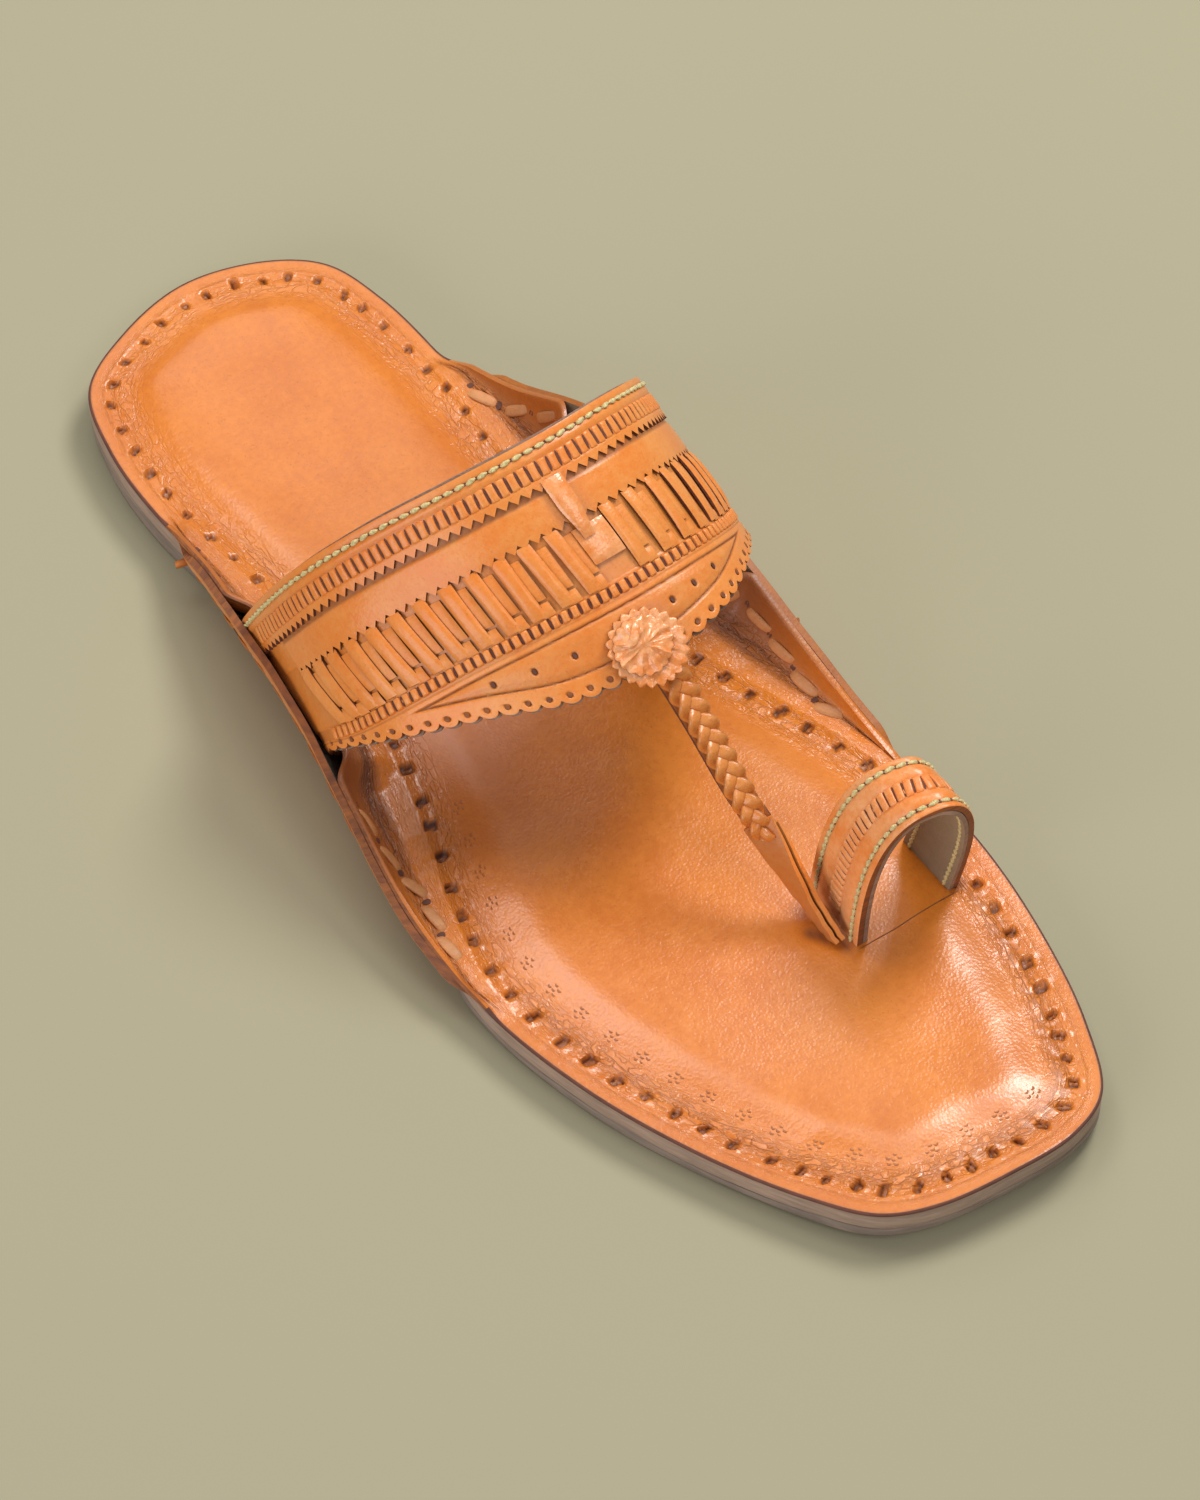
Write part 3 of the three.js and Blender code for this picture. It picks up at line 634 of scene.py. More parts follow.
class Graph:
    """Builds one material's node tree."""

    def __init__(self, name):
        self.material = bpy.data.materials.new(name)
        self.material.use_nodes = True
        self.tree = self.material.node_tree
        self.tree.nodes.clear()

    def node(self, kind, settings=None, inputs=None):
        node = self.tree.nodes.new(kind)
        for label, value in (settings or {}).items():
            setattr(node, label, value)
        for label, value in (inputs or {}).items():
            socket = node.inputs[label]
            if isinstance(value, Value):
                self.tree.links.new(value.socket, socket)
            elif isinstance(value, bpy.types.NodeSocket):
                self.tree.links.new(value, socket)
            else:
                socket.default_value = value
        return node

    def value(self, node, output=0):
        return Value(self, node.outputs[output])

    def coordinates(self):
        return self.node("ShaderNodeTexCoord").outputs["Object"]

    def pair(self, x, y):
        """Vector from two values that run over the surface."""
        return self.node("ShaderNodeCombineXYZ", inputs={"X": x, "Y": y}).outputs[0]

    def noise(self, scale, detail=3.0, rough=0.55, stretch=None, vector=None):
        vector = vector or self.coordinates()
        if stretch:
            vector = self.node("ShaderNodeMapping", inputs={"Vector": vector, "Scale": stretch}).outputs[0]
        return self.value(self.node("ShaderNodeTexNoise", inputs={
            "Vector": vector, "Scale": scale, "Detail": detail, "Roughness": rough}))

    def cells(self, scale):
        return self.value(self.node("ShaderNodeTexVoronoi", inputs={
            "Vector": self.coordinates(), "Scale": scale}))

    def mark(self, label):
        node = self.node("ShaderNodeAttribute", {"attribute_name": label})
        return Value(self, node.outputs["Fac"])

    def blend(self, share, first, second):
        node = self.node("ShaderNodeMix", {"data_type": "RGBA"})
        for socket, value in ((node.inputs[0], share), (node.inputs[6], first), (node.inputs[7], second)):
            if isinstance(value, Value):
                self.tree.links.new(value.socket, socket)
            else:
                socket.default_value = value
        return Value(self, node.outputs[2])

    def finish(self, colour, rough, height=None, depth=0.0002, strength=0.6, coat=0.0, coat_rough=0.3,
               specular=0.5, sheen=0.0):
        inputs = {"Base Color": colour, "Roughness": rough, "Coat Weight": coat, "Coat Roughness": coat_rough,
                  "Specular IOR Level": specular, "Sheen Weight": sheen}
        if height is not None:
            bump = self.node("ShaderNodeBump", inputs={
                "Strength": strength, "Distance": depth, "Height": height})
            inputs["Normal"] = bump.outputs[0]
        shader = self.node("ShaderNodeBsdfPrincipled", inputs=inputs)
        self.node("ShaderNodeOutputMaterial", inputs={"Surface": shader.outputs[0]})
        return self.material


class Value:
    """A shader socket that takes part in Python arithmetic."""

    def __init__(self, graph, socket):
        self.graph = graph
        self.socket = socket

    def math(self, operation, first, second=None):
        inputs = {0: first} if second is None else {0: first, 1: second}
        return self.graph.value(self.graph.node("ShaderNodeMath", {"operation": operation}, inputs))

    def __add__(self, other): return self.math("ADD", self, other)
    def __radd__(self, other): return self.math("ADD", other, self)
    def __sub__(self, other): return self.math("SUBTRACT", self, other)
    def __rsub__(self, other): return self.math("SUBTRACT", other, self)
    def __mul__(self, other): return self.math("MULTIPLY", self, other)
    def __rmul__(self, other): return self.math("MULTIPLY", other, self)

    def size(self):
        return self.graph.value(self.graph.node("ShaderNodeMath", {"operation": "ABSOLUTE"}, {0: self}))

    def clamped(self):
        node = self.graph.node("ShaderNodeClamp", inputs={"Value": self})
        return self.graph.value(node)

    def between(self, low, high):
        """0 at low, 1 at high, smooth in between."""
        node = self.graph.node("ShaderNodeMapRange", {"interpolation_type": "SMOOTHSTEP"},
                               {"Value": self, "From Min": low, "From Max": high})
        return self.graph.value(node)


def shade(colour, share):
    """A colour made darker or lighter."""
    return tuple(share * c for c in colour)


def rgba(colour, share=1.0):
    return (*shade(colour, share), 1.0)


def tanned_leather(name, light, deep, stain_and_shade, rough, coat, grain=0.5, puckered=False):
    """Vegetable-tanned leather: mottled tan, fine pores, darkened by its mark of real stains and painted
    shade.
    """
    g = Graph(name)
    clouds = g.noise(38, 4, 0.6)
    speck = g.noise(620, 3, 0.65)
    streak = g.noise(70, 3, 0.55, (1.0, 0.35, 1.0))
    tone = (clouds * 0.45 + streak * 0.25 + speck * 0.3).between(0.36, 0.66)
    colour = g.blend(tone, rgba(deep), rgba(light))
    freckle = g.noise(1700, 2, 0.5).between(0.58, 0.76)
    colour = g.blend(freckle * 0.3, colour, rgba(deep, 0.55))
    height = g.cells(1500) * 0.4 + speck * 0.45 + g.noise(230, 4, 0.6) * 0.5
    if puckered:
        # Fine creases that follow the edge and the ears' folds; their lines are painted darker as shade.
        mask = g.mark("pucker")
        first = g.noise(1, 2, 0.5, vector=g.pair(g.mark("run") * 0.12, g.mark("reach") * 0.56))
        second = g.noise(1, 2, 0.5, vector=g.pair(g.mark("run") * 0.3, g.mark("reach") * 0.4))
        crease = (first - 0.5).size().between(0.0, 0.07) * (second - 0.5).size().between(-0.02, 0.06)
        colour = g.blend((1 - crease) * mask * 0.5, colour, rgba(deep, 0.62))
        height = height + crease * mask * 4.2 + second * mask * 3.2
    # Darkened by the mark: real stains, and painted shade in holes, gaps and under the straps.
    colour = g.blend(g.mark("stain_and_shade").clamped(), colour, rgba(stain_and_shade))
    roughness = rough + 0.16 * (clouds - 0.5) + 0.12 * (speck - 0.5) + 0.3 * g.mark("stain_and_shade")
    gloss = (1 - g.mark("stain_and_shade").clamped()) * coat
    return g.finish(colour, roughness, height, 0.00022 * grain, 0.75, gloss, 0.25)


def cut_edge(name, light, deep, scale=900):
    """Raw cut edge: fibre streaks along the layer."""
    g = Graph(name)
    layers = g.noise(scale, 3, 0.6, (0.25, 0.25, 2.2))
    clouds = g.noise(60, 3)
    colour = g.blend((layers * 0.7 + clouds * 0.3).between(0.3, 0.7), rgba(deep), rgba(light))
    return g.finish(colour, 0.72 + 0.15 * (clouds - 0.5), layers, 0.0003, 0.6)


def suede(name, light, deep):
    g = Graph(name)
    nap = g.noise(1300, 4, 0.7)
    clouds = g.noise(90, 3)
    colour = g.blend((nap * 0.5 + clouds * 0.5).between(0.3, 0.7), rgba(deep), rgba(light))
    return g.finish(colour, 0.9 + 0.05 * (nap - 0.5), nap, 0.0003, 0.8, sheen=0.1)


def waxed_thread(name, light, deep):
    g = Graph(name)
    fibre = g.noise(2600, 3, 0.6)
    colour = g.blend(fibre.between(0.35, 0.65), rgba(deep), rgba(light))
    return g.finish(colour, 0.5 + 0.2 * (fibre - 0.5), fibre, 0.00012, 0.6, sheen=0.2)


FINISHES = {}


def finish_named(label):
    """The sandal's finishes, made when first asked for."""
    if label in FINISHES:
        return FINISHES[label]
    hues = bpy.context.scene.sandal_finish
    tan, pale, deep, dark, lace, raw, sole, bottom, flesh, thread = (tuple(c) for c in (
        hues.tan, hues.pale_tan, hues.deep_tan, hues.burnished, hues.lace, hues.raw_edge,
        hues.sole_edge, hues.bottom, hues.suede, hues.thread))
    strap_deep = shade(deep, 1.24)
    # Paler tan for the toe loop, keeper and patch: partly the leather's own lighter colour, partly painted
    # highlight.
    rosy = (min(1.0, 1.12 * pale[0]), 1.4 * pale[1], 2.5 * pale[2])
    rim_light, rim_dark = (tuple(a * t + b * d for t, d in zip(tan, dark))
                           for a, b in ((0.34, 0.9), (0.08, 1)))
    # Leathers: light and deep colour, colour of stains and painted shade, roughness, coat and depth of the
    # grain.
    # Edges: light and deep colour and how fine the fibres are. The rest: light and deep colour.
    recipes = {
        "footbed": (tanned_leather, "footbed_leather", tan, deep, dark, 0.23, 0.48, 0.55, True),
        "strap": (tanned_leather, "strap_leather", pale, strap_deep, dark, 0.33, 0.22, 0.65),
        "loop": (tanned_leather, "loop_leather", rosy, strap_deep, dark, 0.34, 0.3, 0.65),
        "plait": (tanned_leather, "plait_leather", shade(pale, 0.88), deep, dark, 0.26, 0.4, 0.8),
        # The rosette's pale colour is partly its own, partly painted highlight.
        "rosette": (tanned_leather, "rosette_leather", (1.0, 0.56, 0.28), strap_deep, dark, 0.17, 0.7, 1.1),
        "glossy": (tanned_leather, "glossy_strap_leather", rosy, strap_deep, dark, 0.17, 0.7, 0.9),
        "panel": (tanned_leather, "woven_panel_leather", pale, strap_deep, dark, 0.4, 0.1, 0.8),
        # Darker tan for pressed marks, also used as painted shade on the ears' outer laces.
        "pressed": (tanned_leather, "pressed_ground_leather", shade(tan, 0.62), shade(deep, 0.5), dark,
                    0.5, 0.05, 0.6),
        "lace": (tanned_leather, "lace_leather", lace, shade(lace, 0.75), dark, 0.5, 0.05, 0.7),
        "burnished": (cut_edge, "burnished_edge", shade(dark, 1.7), dark),
        "rim_edge": (cut_edge, "rim_edge", rim_light, rim_dark),
        "raw_edge": (cut_edge, "raw_leather_edge", raw, shade(raw, 0.55)),
        "sole_edge": (cut_edge, "sole_layer_edge", sole, shade(sole, 0.66), 500),
        "bottom": (cut_edge, "bottom_leather", bottom, shade(bottom, 0.6), 400),
        "lining": (suede, "lining_suede", flesh, shade(flesh, 0.75)),
        "suede": (suede, "strap_suede", flesh, shade(flesh, 0.6)),
        "thread": (waxed_thread, "sewing_thread", thread, shade(thread, 0.62)),
    }
    make, *values = recipes[label]
    FINISHES[label] = make(*values)
    return FINISHES[label]


# ------------------------------------------------------------------ sole layers

def ring_in(outline, distance, height):
    """Outline moved inwards by a distance; height is a function of y."""
    inward = unit(spine(outline) - outline)
    moved = outline + inward * np.asarray(distance, float).reshape(-1, 1)
    return np.column_stack([moved, height(moved[:, 1])])


def flat_core(outline, height):
    """Rings of a layer's flat middle, from the centre line outwards."""
    middle = outline + (spine(outline) - outline) * CORE_SHARE
    return [np.column_stack([middle, height(middle[:, 1])])] + [
        ring_in(outline, inset, height) for inset in CORE_INSETS]


def sole_layer(name, base, top, draw_in, finish, wobble, seed):
    """One leather layer of the sole with a pared, slightly uneven cut edge."""
    outline = OUTLINE_FINE[::2]
    arc = np.linspace(0, OUTLINE_LENGTH, len(outline), endpoint=False)
    y = outline[:, 1]

    def edge(share, tuck):
        uneven = wobble * soft_noise(arc / 9, share * 3 + 0 * arc, seed)
        return ring_in(outline, draw_in + tuck + uneven, lambda _: base(y) + (top(y) - base(y)) * share)

    rows = [(0.0, 0.35), (0.1, 0.08), (0.35, 0.0), (0.65, 0.02), (0.9, 0.08), (1.0, 0.35)]
    rings = flat_core(outline, base) + [edge(share, tuck) for share, tuck in rows]
    rings += flat_core(outline, top)[::-1]
    return mesh_piece(name, np.concatenate(rings), capped_rings(len(rings), len(outline)), [finish], sharp=50)


def outsole_bottom(y):
    """Underside of the bottom leather: on the floor below the heel."""
    return lift(y) * (1 - smooth(60, 64, y))


# ------------------------------------------------------------------ footbed

PIT_COUNT = 92
CUSHION_RISE = 2.4
FLOWER_INSET, FLOWER_PITCH = 13.0, 7.9
FLOWER_ENDS = ((-34, -2), (22, -124))
HIDDEN = 99    # reach of the footbed's rows that lie under it or in its edge


def footbed_cushion(distance, y):
    """Rise of the padded middle inside the thong holes: a shoulder in front, a gentle dome behind."""
    share = np.clip((np.asarray(distance, float) - 6.2) / 19.5, 0, 1)
    dome = (1 - (1 - share) ** 2.2) * smooth(0, 0.4, share)
    behind = smooth(25, 60, y)
    return CUSHION_RISE * (dome * behind + smooth(5.8, 21, distance) * (1 - behind))


def footbed_swell(x, y, distance):
    """Slow unevenness of the padded middle."""
    return 0.12 * soft_noise(x / 9, y / 11, 5) * smooth(9, 16, distance)


def bed_height(x, y):
    """Top of the footbed's padded middle, away from its border."""
    sign = 1 if x > 10 * smooth(60, -100, y) else -1
    distance = half_width(sign, y) - sign * x
    return float(insole_edge(y) + footbed_cushion(distance, y) + footbed_swell(x, y, distance))


def pit_inset(y):
    """Distance of the thong holes from the footbed's edge."""
    return 4.9 + 1.1 * smooth(60, 10, y)


def pit_relief(arc, distance, inset, seed=11):
    """Depth and painted shade of the thong holes that run round the footbed inside its edge."""
    rng = np.random.default_rng(seed)
    pitch = OUTLINE_LENGTH / PIT_COUNT
    index = np.floor(arc / pitch).astype(int) % PIT_COUNT
    shift, turn = rng.uniform(-0.7, 0.7, PIT_COUNT), rng.uniform(-0.55, 0.55, PIT_COUNT)
    wide, long = rng.uniform(0.7, 1.0, PIT_COUNT), rng.uniform(0.65, 1.05, PIT_COUNT)
    out, deep = rng.uniform(-0.4, 0.4, PIT_COUNT), rng.uniform(0.65, 1.1, PIT_COUNT)
    flap = rng.uniform(-1, 1, PIT_COUNT)
    u = arc - (index + 0.5) * pitch - shift[index]
    v = distance - inset - out[index]
    c, s = np.cos(turn[index]), np.sin(turn[index])
    scale = 1.18 - 0.24 * smooth(5.7, 5.0, inset)
    ur, vr = (u * c - v * s) / wide[index] / scale, (u * s + v * c) / long[index] / scale
    hole = smooth(1.15, 0.75, np.abs(ur)) * smooth(1.45, 1.0, np.abs(vr))
    # The thong's end shows inside each hole, lighter and a little higher on one side.
    thong = np.exp(-((ur - 0.5 * flap[index]) / 0.34) ** 2) * smooth(1.3, 0.8, np.abs(vr))
    lip = np.exp(-((np.hypot(ur, vr * 0.85) - 1.75) / 0.5) ** 2)
    lip = lip * smooth(-0.6, 0.9, ur * np.sign(flap[index]))
    pull = np.exp(-(ur / 1.1) ** 2) * np.exp(-((np.abs(vr) - 2.4) / 1.3) ** 2)
    height = -1.15 * hole * deep[index] + 0.55 * thong * hole + 0.20 * lip - 0.12 * pull
    return height, hole * (1 - 0.55 * thong)


def leather_wrinkles(along, across, seed, fine=0.24):
    """Thin wandering valleys, longer along the first direction than across."""
    first = soft_noise(along / 6.0, across / 0.95, seed)
    second = soft_noise(along / 3.4 + 0.3 * across, across / 0.7, seed + 1)
    return -np.exp(-(first / fine) ** 2) - 0.6 * np.exp(-(second / fine) ** 2)


def footbed_rings(outline):
    """Rows of the footbed from under its middle, out round the edge or ear rim, to the spine."""
    y, arc = outline[:, 1], np.linspace(0, OUTLINE_LENGTH, len(outline), endpoint=False)
    weight, ears = np.zeros(len(outline)), {}
    for side, s in SIDES.items():
        mine = (outline[:, 0] * s["sign"] > 0) & (np.abs(y) < 100)
        weight[mine] = ear_weight(side, y[mine])
        ears[side] = mine & (weight > 0)

    def row(distance, height, t, wall):
        flat = ring_in(outline, distance, height)
        for side, mine in ears.items():
            opened = pocket(side, y[mine])
            lined = ear_point(side, y[mine], t * (1 - POCKET_DROP * opened), POCKET * opened + wall)
            share = weight[mine][:, None]
            flat[mine] = flat[mine] * (1 - share) + lined * share
        return flat

    def inner(distance):
        hump = 1.55 * weight * (1 - smooth(3.2, 8.5, distance))
        ring = ring_in(outline, distance, insole_edge)
        ring[:, 2] += hump + footbed_cushion(distance, ring[:, 1])
        return ring

    rings, slots, reach, section = [], [], [], []
    def put(ring, slot, distance, t=0.0):
        rings.append(ring)
        slots.append(slot)
        reach.append(distance)
        section.append(t)

    for ring in flat_core(outline, insole_base) + [row(3.0, insole_base, 0.05, 0.0)]:
        put(ring, 2, HIDDEN)
    for k, t in enumerate((0.12, 0.3, 0.5, 0.7, 0.85, 0.97)):
        edge = row(0.03 * (5 - k), lambda v: insole_base(v) + TOP_LEATHER * (0.02 + 0.15 * k), t, 0.0)
        put(edge, 1, HIDDEN)
    for turn in (0.15, 0.5, 0.85):
        rounded = row(0.42 * turn, lambda v: insole_edge(v) - 0.25 * (1 - turn), 1.0, EAR_LINING * turn)
        put(rounded, 1, HIDDEN)
    steps = np.concatenate([np.linspace(0.99, 0.5, 10), np.linspace(0.47, 0.10, 24)])
    for t in steps:
        distance = 0.5 + 2.4 * (1 - t) / 0.9
        put(row(distance, insole_edge, t, EAR_LINING), 0, distance, t)
    for distance in (*np.arange(3.4, 9.6, 0.42), 10.2, 11, 12, 13, 14.2, 15.6, 17.2, 19, 21.5, 24):
        put(inner(distance), 0, distance)
    last = inner(24)
    middle = spine(outline)
    for share in (0.3, 0.55, 0.75, 0.88, 0.95, 0.985, 0.997):
        flat = last[:, :2] + (middle - last[:, :2]) * share
        flat_height = last[:, 2] - insole_edge(last[:, 1])
        flat_height = flat_height + (CUSHION_RISE - flat_height) * smooth(0, 0.3, share)
        put(np.column_stack([flat, insole_edge(flat[:, 1]) + flat_height]), 0, 30)
    return rings, slots, np.array(reach), np.array(section), arc, weight


def zip_closed(y, first):
    """Triangles that close a ring drawn tight round the spine, taking both sides in step."""
    low, high, faces = 0, len(y) - 1, []
    while high - low > 1:
        if y[low + 1] >= y[high - 1]:
            faces.append([first + low, first + low + 1, first + high])
            low += 1
        else:
            faces.append([first + low, first + high - 1, first + high])
            high -= 1
    return faces


FOOT_SLOTS = [(LOOP_FRONT["inner"], LOOP_BACK["inner"]), (LOOP_FRONT["outer"], LOOP_BACK["outer"]),
              ((10.2, -70.5), (14.6, -77.5))]


def near_slots(x, y, reach):
    """1 beside the slots where straps enter the footbed, fading over a reach."""
    share = np.zeros(np.shape(x))
    for start, end in FOOT_SLOTS:
        a, d = np.array(start), np.subtract(end, start)
        k = np.clip(((x - a[0]) * d[0] + (y - a[1]) * d[1]) / (d @ d), 0, 1)
        gap = np.hypot(x - a[0] - k * d[0], y - a[1] - k * d[1])
        share = np.maximum(share, np.exp(-(gap / reach) ** 2))
    return share


def ear_inner_shade(x, y):
    """Painted shade on the ears' inner faces: deep beside the band, light towards the front."""
    share = np.zeros(np.shape(y))
    for s in SIDES.values():
        fore = 0.1 + 0.6 * smooth(s["front"] + 6, s["band_front"] - 2, y)
        mine = np.where(y > s["band_back"], 0.4, fore)
        share = np.where(np.sign(x) == s["sign"], mine, share)
    return share


def band_shade(x, y):
    """Painted shade on the footbed's outer half below and just in front of the band: 1 there, 0 elsewhere."""
    rail = BAND_FRONT_RAIL(BAND_T)
    order = np.argsort(rail[:, 0])
    ahead = np.interp(x, rail[order, 0], rail[order, 1]) - y
    return smooth(24, 2, ahead) * smooth(-44, -34, ahead) * smooth(8, -26, x)


def build_footbed():
    """Top leather with its cushion, thong holes, creases and ear linings."""
    outline = smooth_outline(1080)[0]
    rings, slots, reach, section, arc, weight = footbed_rings(outline)
    grid = np.array(rings)
    across = np.roll(grid, -1, 1) - np.roll(grid, 1, 1)
    along = np.gradient(grid, axis=0)
    out = unit(np.cross(along, across))
    out *= np.sign(out[-3, :, 2].mean())
    out[reach > 23] = (0, 0, 1) if out[-12, :, 2].mean() > 0 else (0, 0, -1)
    shown = (reach < HIDDEN)[:, None]
    dist = np.broadcast_to(reach[:, None], grid.shape[:2])
    run = np.broadcast_to(arc[None], grid.shape[:2])
    sec = np.broadcast_to(section[:, None], grid.shape[:2])
    eared = np.broadcast_to(weight[None], grid.shape[:2])
    x, y = grid[..., 0], grid[..., 1]
    inset = pit_inset(y)
    relief, hole = pit_relief(run, dist, inset)
    relief = relief - 0.3 * bump_at(dist, inset, 4.6)
    # Creases where the leather turns up into the ears.
    turned = leather_wrinkles(run, sec * 16, 20) * bump_at(sec, 0.30, 0.56) * eared * (sec > 0)
    relief = relief + 0.2 * turned
    relief = relief + footbed_swell(x, y, dist)
    relief = relief + 0.05 * soft_noise(x / 1.6, y / 1.9, 6) * bump_at(dist, 8.0, 7.0)
    slot = near_slots(x, y, 1.5) * (dist > 8)
    relief = relief - 0.35 * slot
    heel_seam = smooth(0, 4, run) * smooth(OUTLINE_LENGTH, OUTLINE_LENGTH - 4, run)
    pucker = np.maximum(bump_at(dist, 8.2, 9.5) * (1 - 0.4 * eared) * smooth(105, 60, y),
                        0.9 * bump_at(sec, 0.33, 0.62) * eared * (sec > 0))
    pucker = np.maximum(pucker, 0.45 * bump_at(dist, 7.0, 12.0)) * heel_seam * (1 - hole)
    grid = grid + out * (relief * shown)[..., None]
    x, y = grid[..., 0], grid[..., 1]
    inner_shade = ear_inner_shade(x, y)
    # Painted shade on the ear linings: in the valleys of their creases and beside the band.
    ear_painted_shade = eared * (0.16 * np.clip(-turned, 0, 1) + inner_shade * smooth(0.0, 0.3, sec))
    # Painted shade in the thong holes, beside the strap slots and under the band; the footbed's edge is
    # darkened as its own dark edge.
    stain_and_shade = hole * 0.9 + ear_painted_shade + 0.75 * slot
    stain_and_shade = stain_and_shade + 0.3 * band_shade(x, y) * (1 - eared * (sec > 0))
    stain_and_shade = np.clip((stain_and_shade + 0.5 * smooth(1.0, 0.4, dist) * (1 - eared)) * shown, 0, 1)
    # The lining's rim rows take only the ears' painted shade.
    rim = slice(9, 13)
    stain_and_shade[rim] = (inner_shade * eared)[rim]
    reached = np.where(sec > 0, -16 * sec, dist)
    marks = {"stain_and_shade": stain_and_shade, "pucker": pucker, "run": run, "reach": reached}
    finishes = ("footbed", "burnished", "suede", "sole_edge", "rim_edge")
    face_slots = np.repeat(np.array(slots)[:-1, None], grid.shape[1], 1)
    row = np.arange(len(slots) - 1)[:, None]
    plain = np.where(row < 8, 3, 1)
    eared_slots = np.where(((row == 9) | (row == 10)) & (outline[None, :, 0] < 0), 4, 0)
    face_slots = np.where(face_slots == 1, np.where(weight[None] > 0.4, eared_slots, plain), face_slots)
    verts = grid.reshape(-1, 3)
    columns = grid.shape[1]
    faces = [list(q) for q in grid_faces(len(grid), columns, wrap=True)]
    faces.append(list(range(columns))[::-1])
    closing = zip_closed(outline[:, 1], len(verts) - columns)
    slots_all = face_slots.ravel().tolist() + [2] + [0] * len(closing)
    faces += closing
    return mesh_piece("footbed", verts, faces, finishes, slots_all, marks, 60)


def flower_stamps():
    """Places of the five-dot flowers pressed inside the stitch row, from the little toe round."""
    outline = OUTLINE_FINE
    inward = unit(spine(outline) - outline)
    ring = outline + inward * FLOWER_INSET
    arc = run_length(ring)
    ends = sorted(int(np.argmin(np.hypot(*(ring - end).T))) for end in FLOWER_ENDS)
    places = []
    for at in np.arange(arc[ends[0]], arc[ends[1]], FLOWER_PITCH):
        index = int(np.searchsorted(arc, at))
        tangent = unit(ring[index + 1] - ring[index - 1])
        for k in range(6):
            angle, radius = k * 2 * math.pi / 5 + at, 1.15 if k < 5 else 0.0
            a, b = radius * math.cos(angle), radius * math.sin(angle)
            x, y = ring[index] + tangent * a + inward[index] * b
            distance = FLOWER_INSET + b
            top = insole_edge(y) + footbed_cushion(distance, y) + footbed_swell(x, y, distance)
            places.append((x, y, float(top) - 0.02))
    return np.array(places)


def knife_line():
    """Cut line on the footbed across the front of the toe loop."""
    x = np.linspace(15.6, 41.0, 60)
    y = -79.4 - 0.5 * np.sin((x - 15) / 26 * np.pi) + 0.12 * soft_noise(x / 3, x * 0, 3)
    z = np.array([bed_height(a, b) for a, b in zip(x, y)])
    path = np.column_stack([x, y, z])
    side = np.tile([0.0, 1.0, 0.0], (len(x), 1))
    up = np.tile([0.0, 0.0, 1.0], (len(x), 1))
    width = 0.26 + 0.1 * soft_noise(x / 4, x * 0 + 3, 4)
    verts, faces = tube_mesh(path, side, up, width, np.full(len(x), 0.14), 8, 2.0, 0.1)
    return mesh_piece("knife_line", verts, faces, ["rim_edge"], sharp=60)


# ------------------------------------------------------------------ ears

def ear_leather(side):
    """Outer leather of an ear; at both ends it dives under the footbed's edge."""
    s = SIDES[side]
    y = np.linspace(s["back"] + 5, s["front"] - 6, 260)
    end = np.maximum(smooth(s["back"] - 6, s["back"] + 5, y),
                     smooth(s["front"] + 6, s["front"] - 6, y))[None]
    thick = EAR_THICK * (1 - 0.85 * end)
    share = np.linspace(0.0, 1.0, 26)[:, None]
    yy = np.broadcast_to(y[None], (26, len(y)))
    tt = 0.03 + (0.985 - 0.6 * end - 0.03) * share
    face = ear_point(side, yy, tt, -thick)
    out = unit(face - ear_point(side, yy, tt, 0.0))
    wave = 0.22 * soft_noise(yy / 7, tt * 2.2, 7) * smooth(0.1, 0.6, tt)
    wave = (wave + 0.14 * leather_wrinkles(yy, tt * 12, 9) * bump_at(tt, 0.3, 0.5)) * (1 - end)
    face = face + out * wave[..., None]
    stain_and_shade = 0.45 * smooth(0.93, 1.0, share + 0 * yy) + 0.25 * smooth(0.2, 0.05, tt)
    edge = "rim_edge" if side == "lateral" else "pressed"
    return sheet_piece("ear_leather_" + side, face, out, thick + 0 * tt, ["strap", edge, "suede"],
                       {"stain_and_shade": stain_and_shade}, 50)


def ear_row(side, below, y, outside):
    """Places on an ear's inner or outer face at a distance below its rim."""
    opened = pocket(side, y)
    t = np.linspace(0.15, 1, 80)
    if outside:
        grid = ear_point(side, y[:, None], t[None], -EAR_THICK)
    else:
        wall = (POCKET * opened + EAR_LINING)[:, None]
        grid = ear_point(side, y[:, None], t[None] * (1 - POCKET_DROP * opened[:, None]), wall)
    steps = np.linalg.norm(np.diff(grid, axis=1), axis=2)
    from_rim = np.concatenate([np.cumsum(steps[:, ::-1], 1)[:, ::-1], np.zeros((len(y), 1))], 1)
    index = np.array([np.interp(below, row[::-1], np.arange(len(t))[::-1]) for row in from_rim])
    low = np.clip(index.astype(int), 0, len(t) - 2)
    k = np.arange(len(y))
    share = (index - low)[:, None]
    place = grid[k, low] * (1 - share) + grid[k, low + 1] * share
    up = unit(grid[k, low + 1] - grid[k, low])
    along = unit(np.gradient(place, axis=0))
    out = unit(np.cross(along, up))
    want = SIDES[side]["sign"] * (1 if outside else -1)
    out *= np.where(np.sign(out[:, :1]) == want, 1, -1)
    return place, along, np.cross(out, along), out


# ------------------------------------------------------------------ band

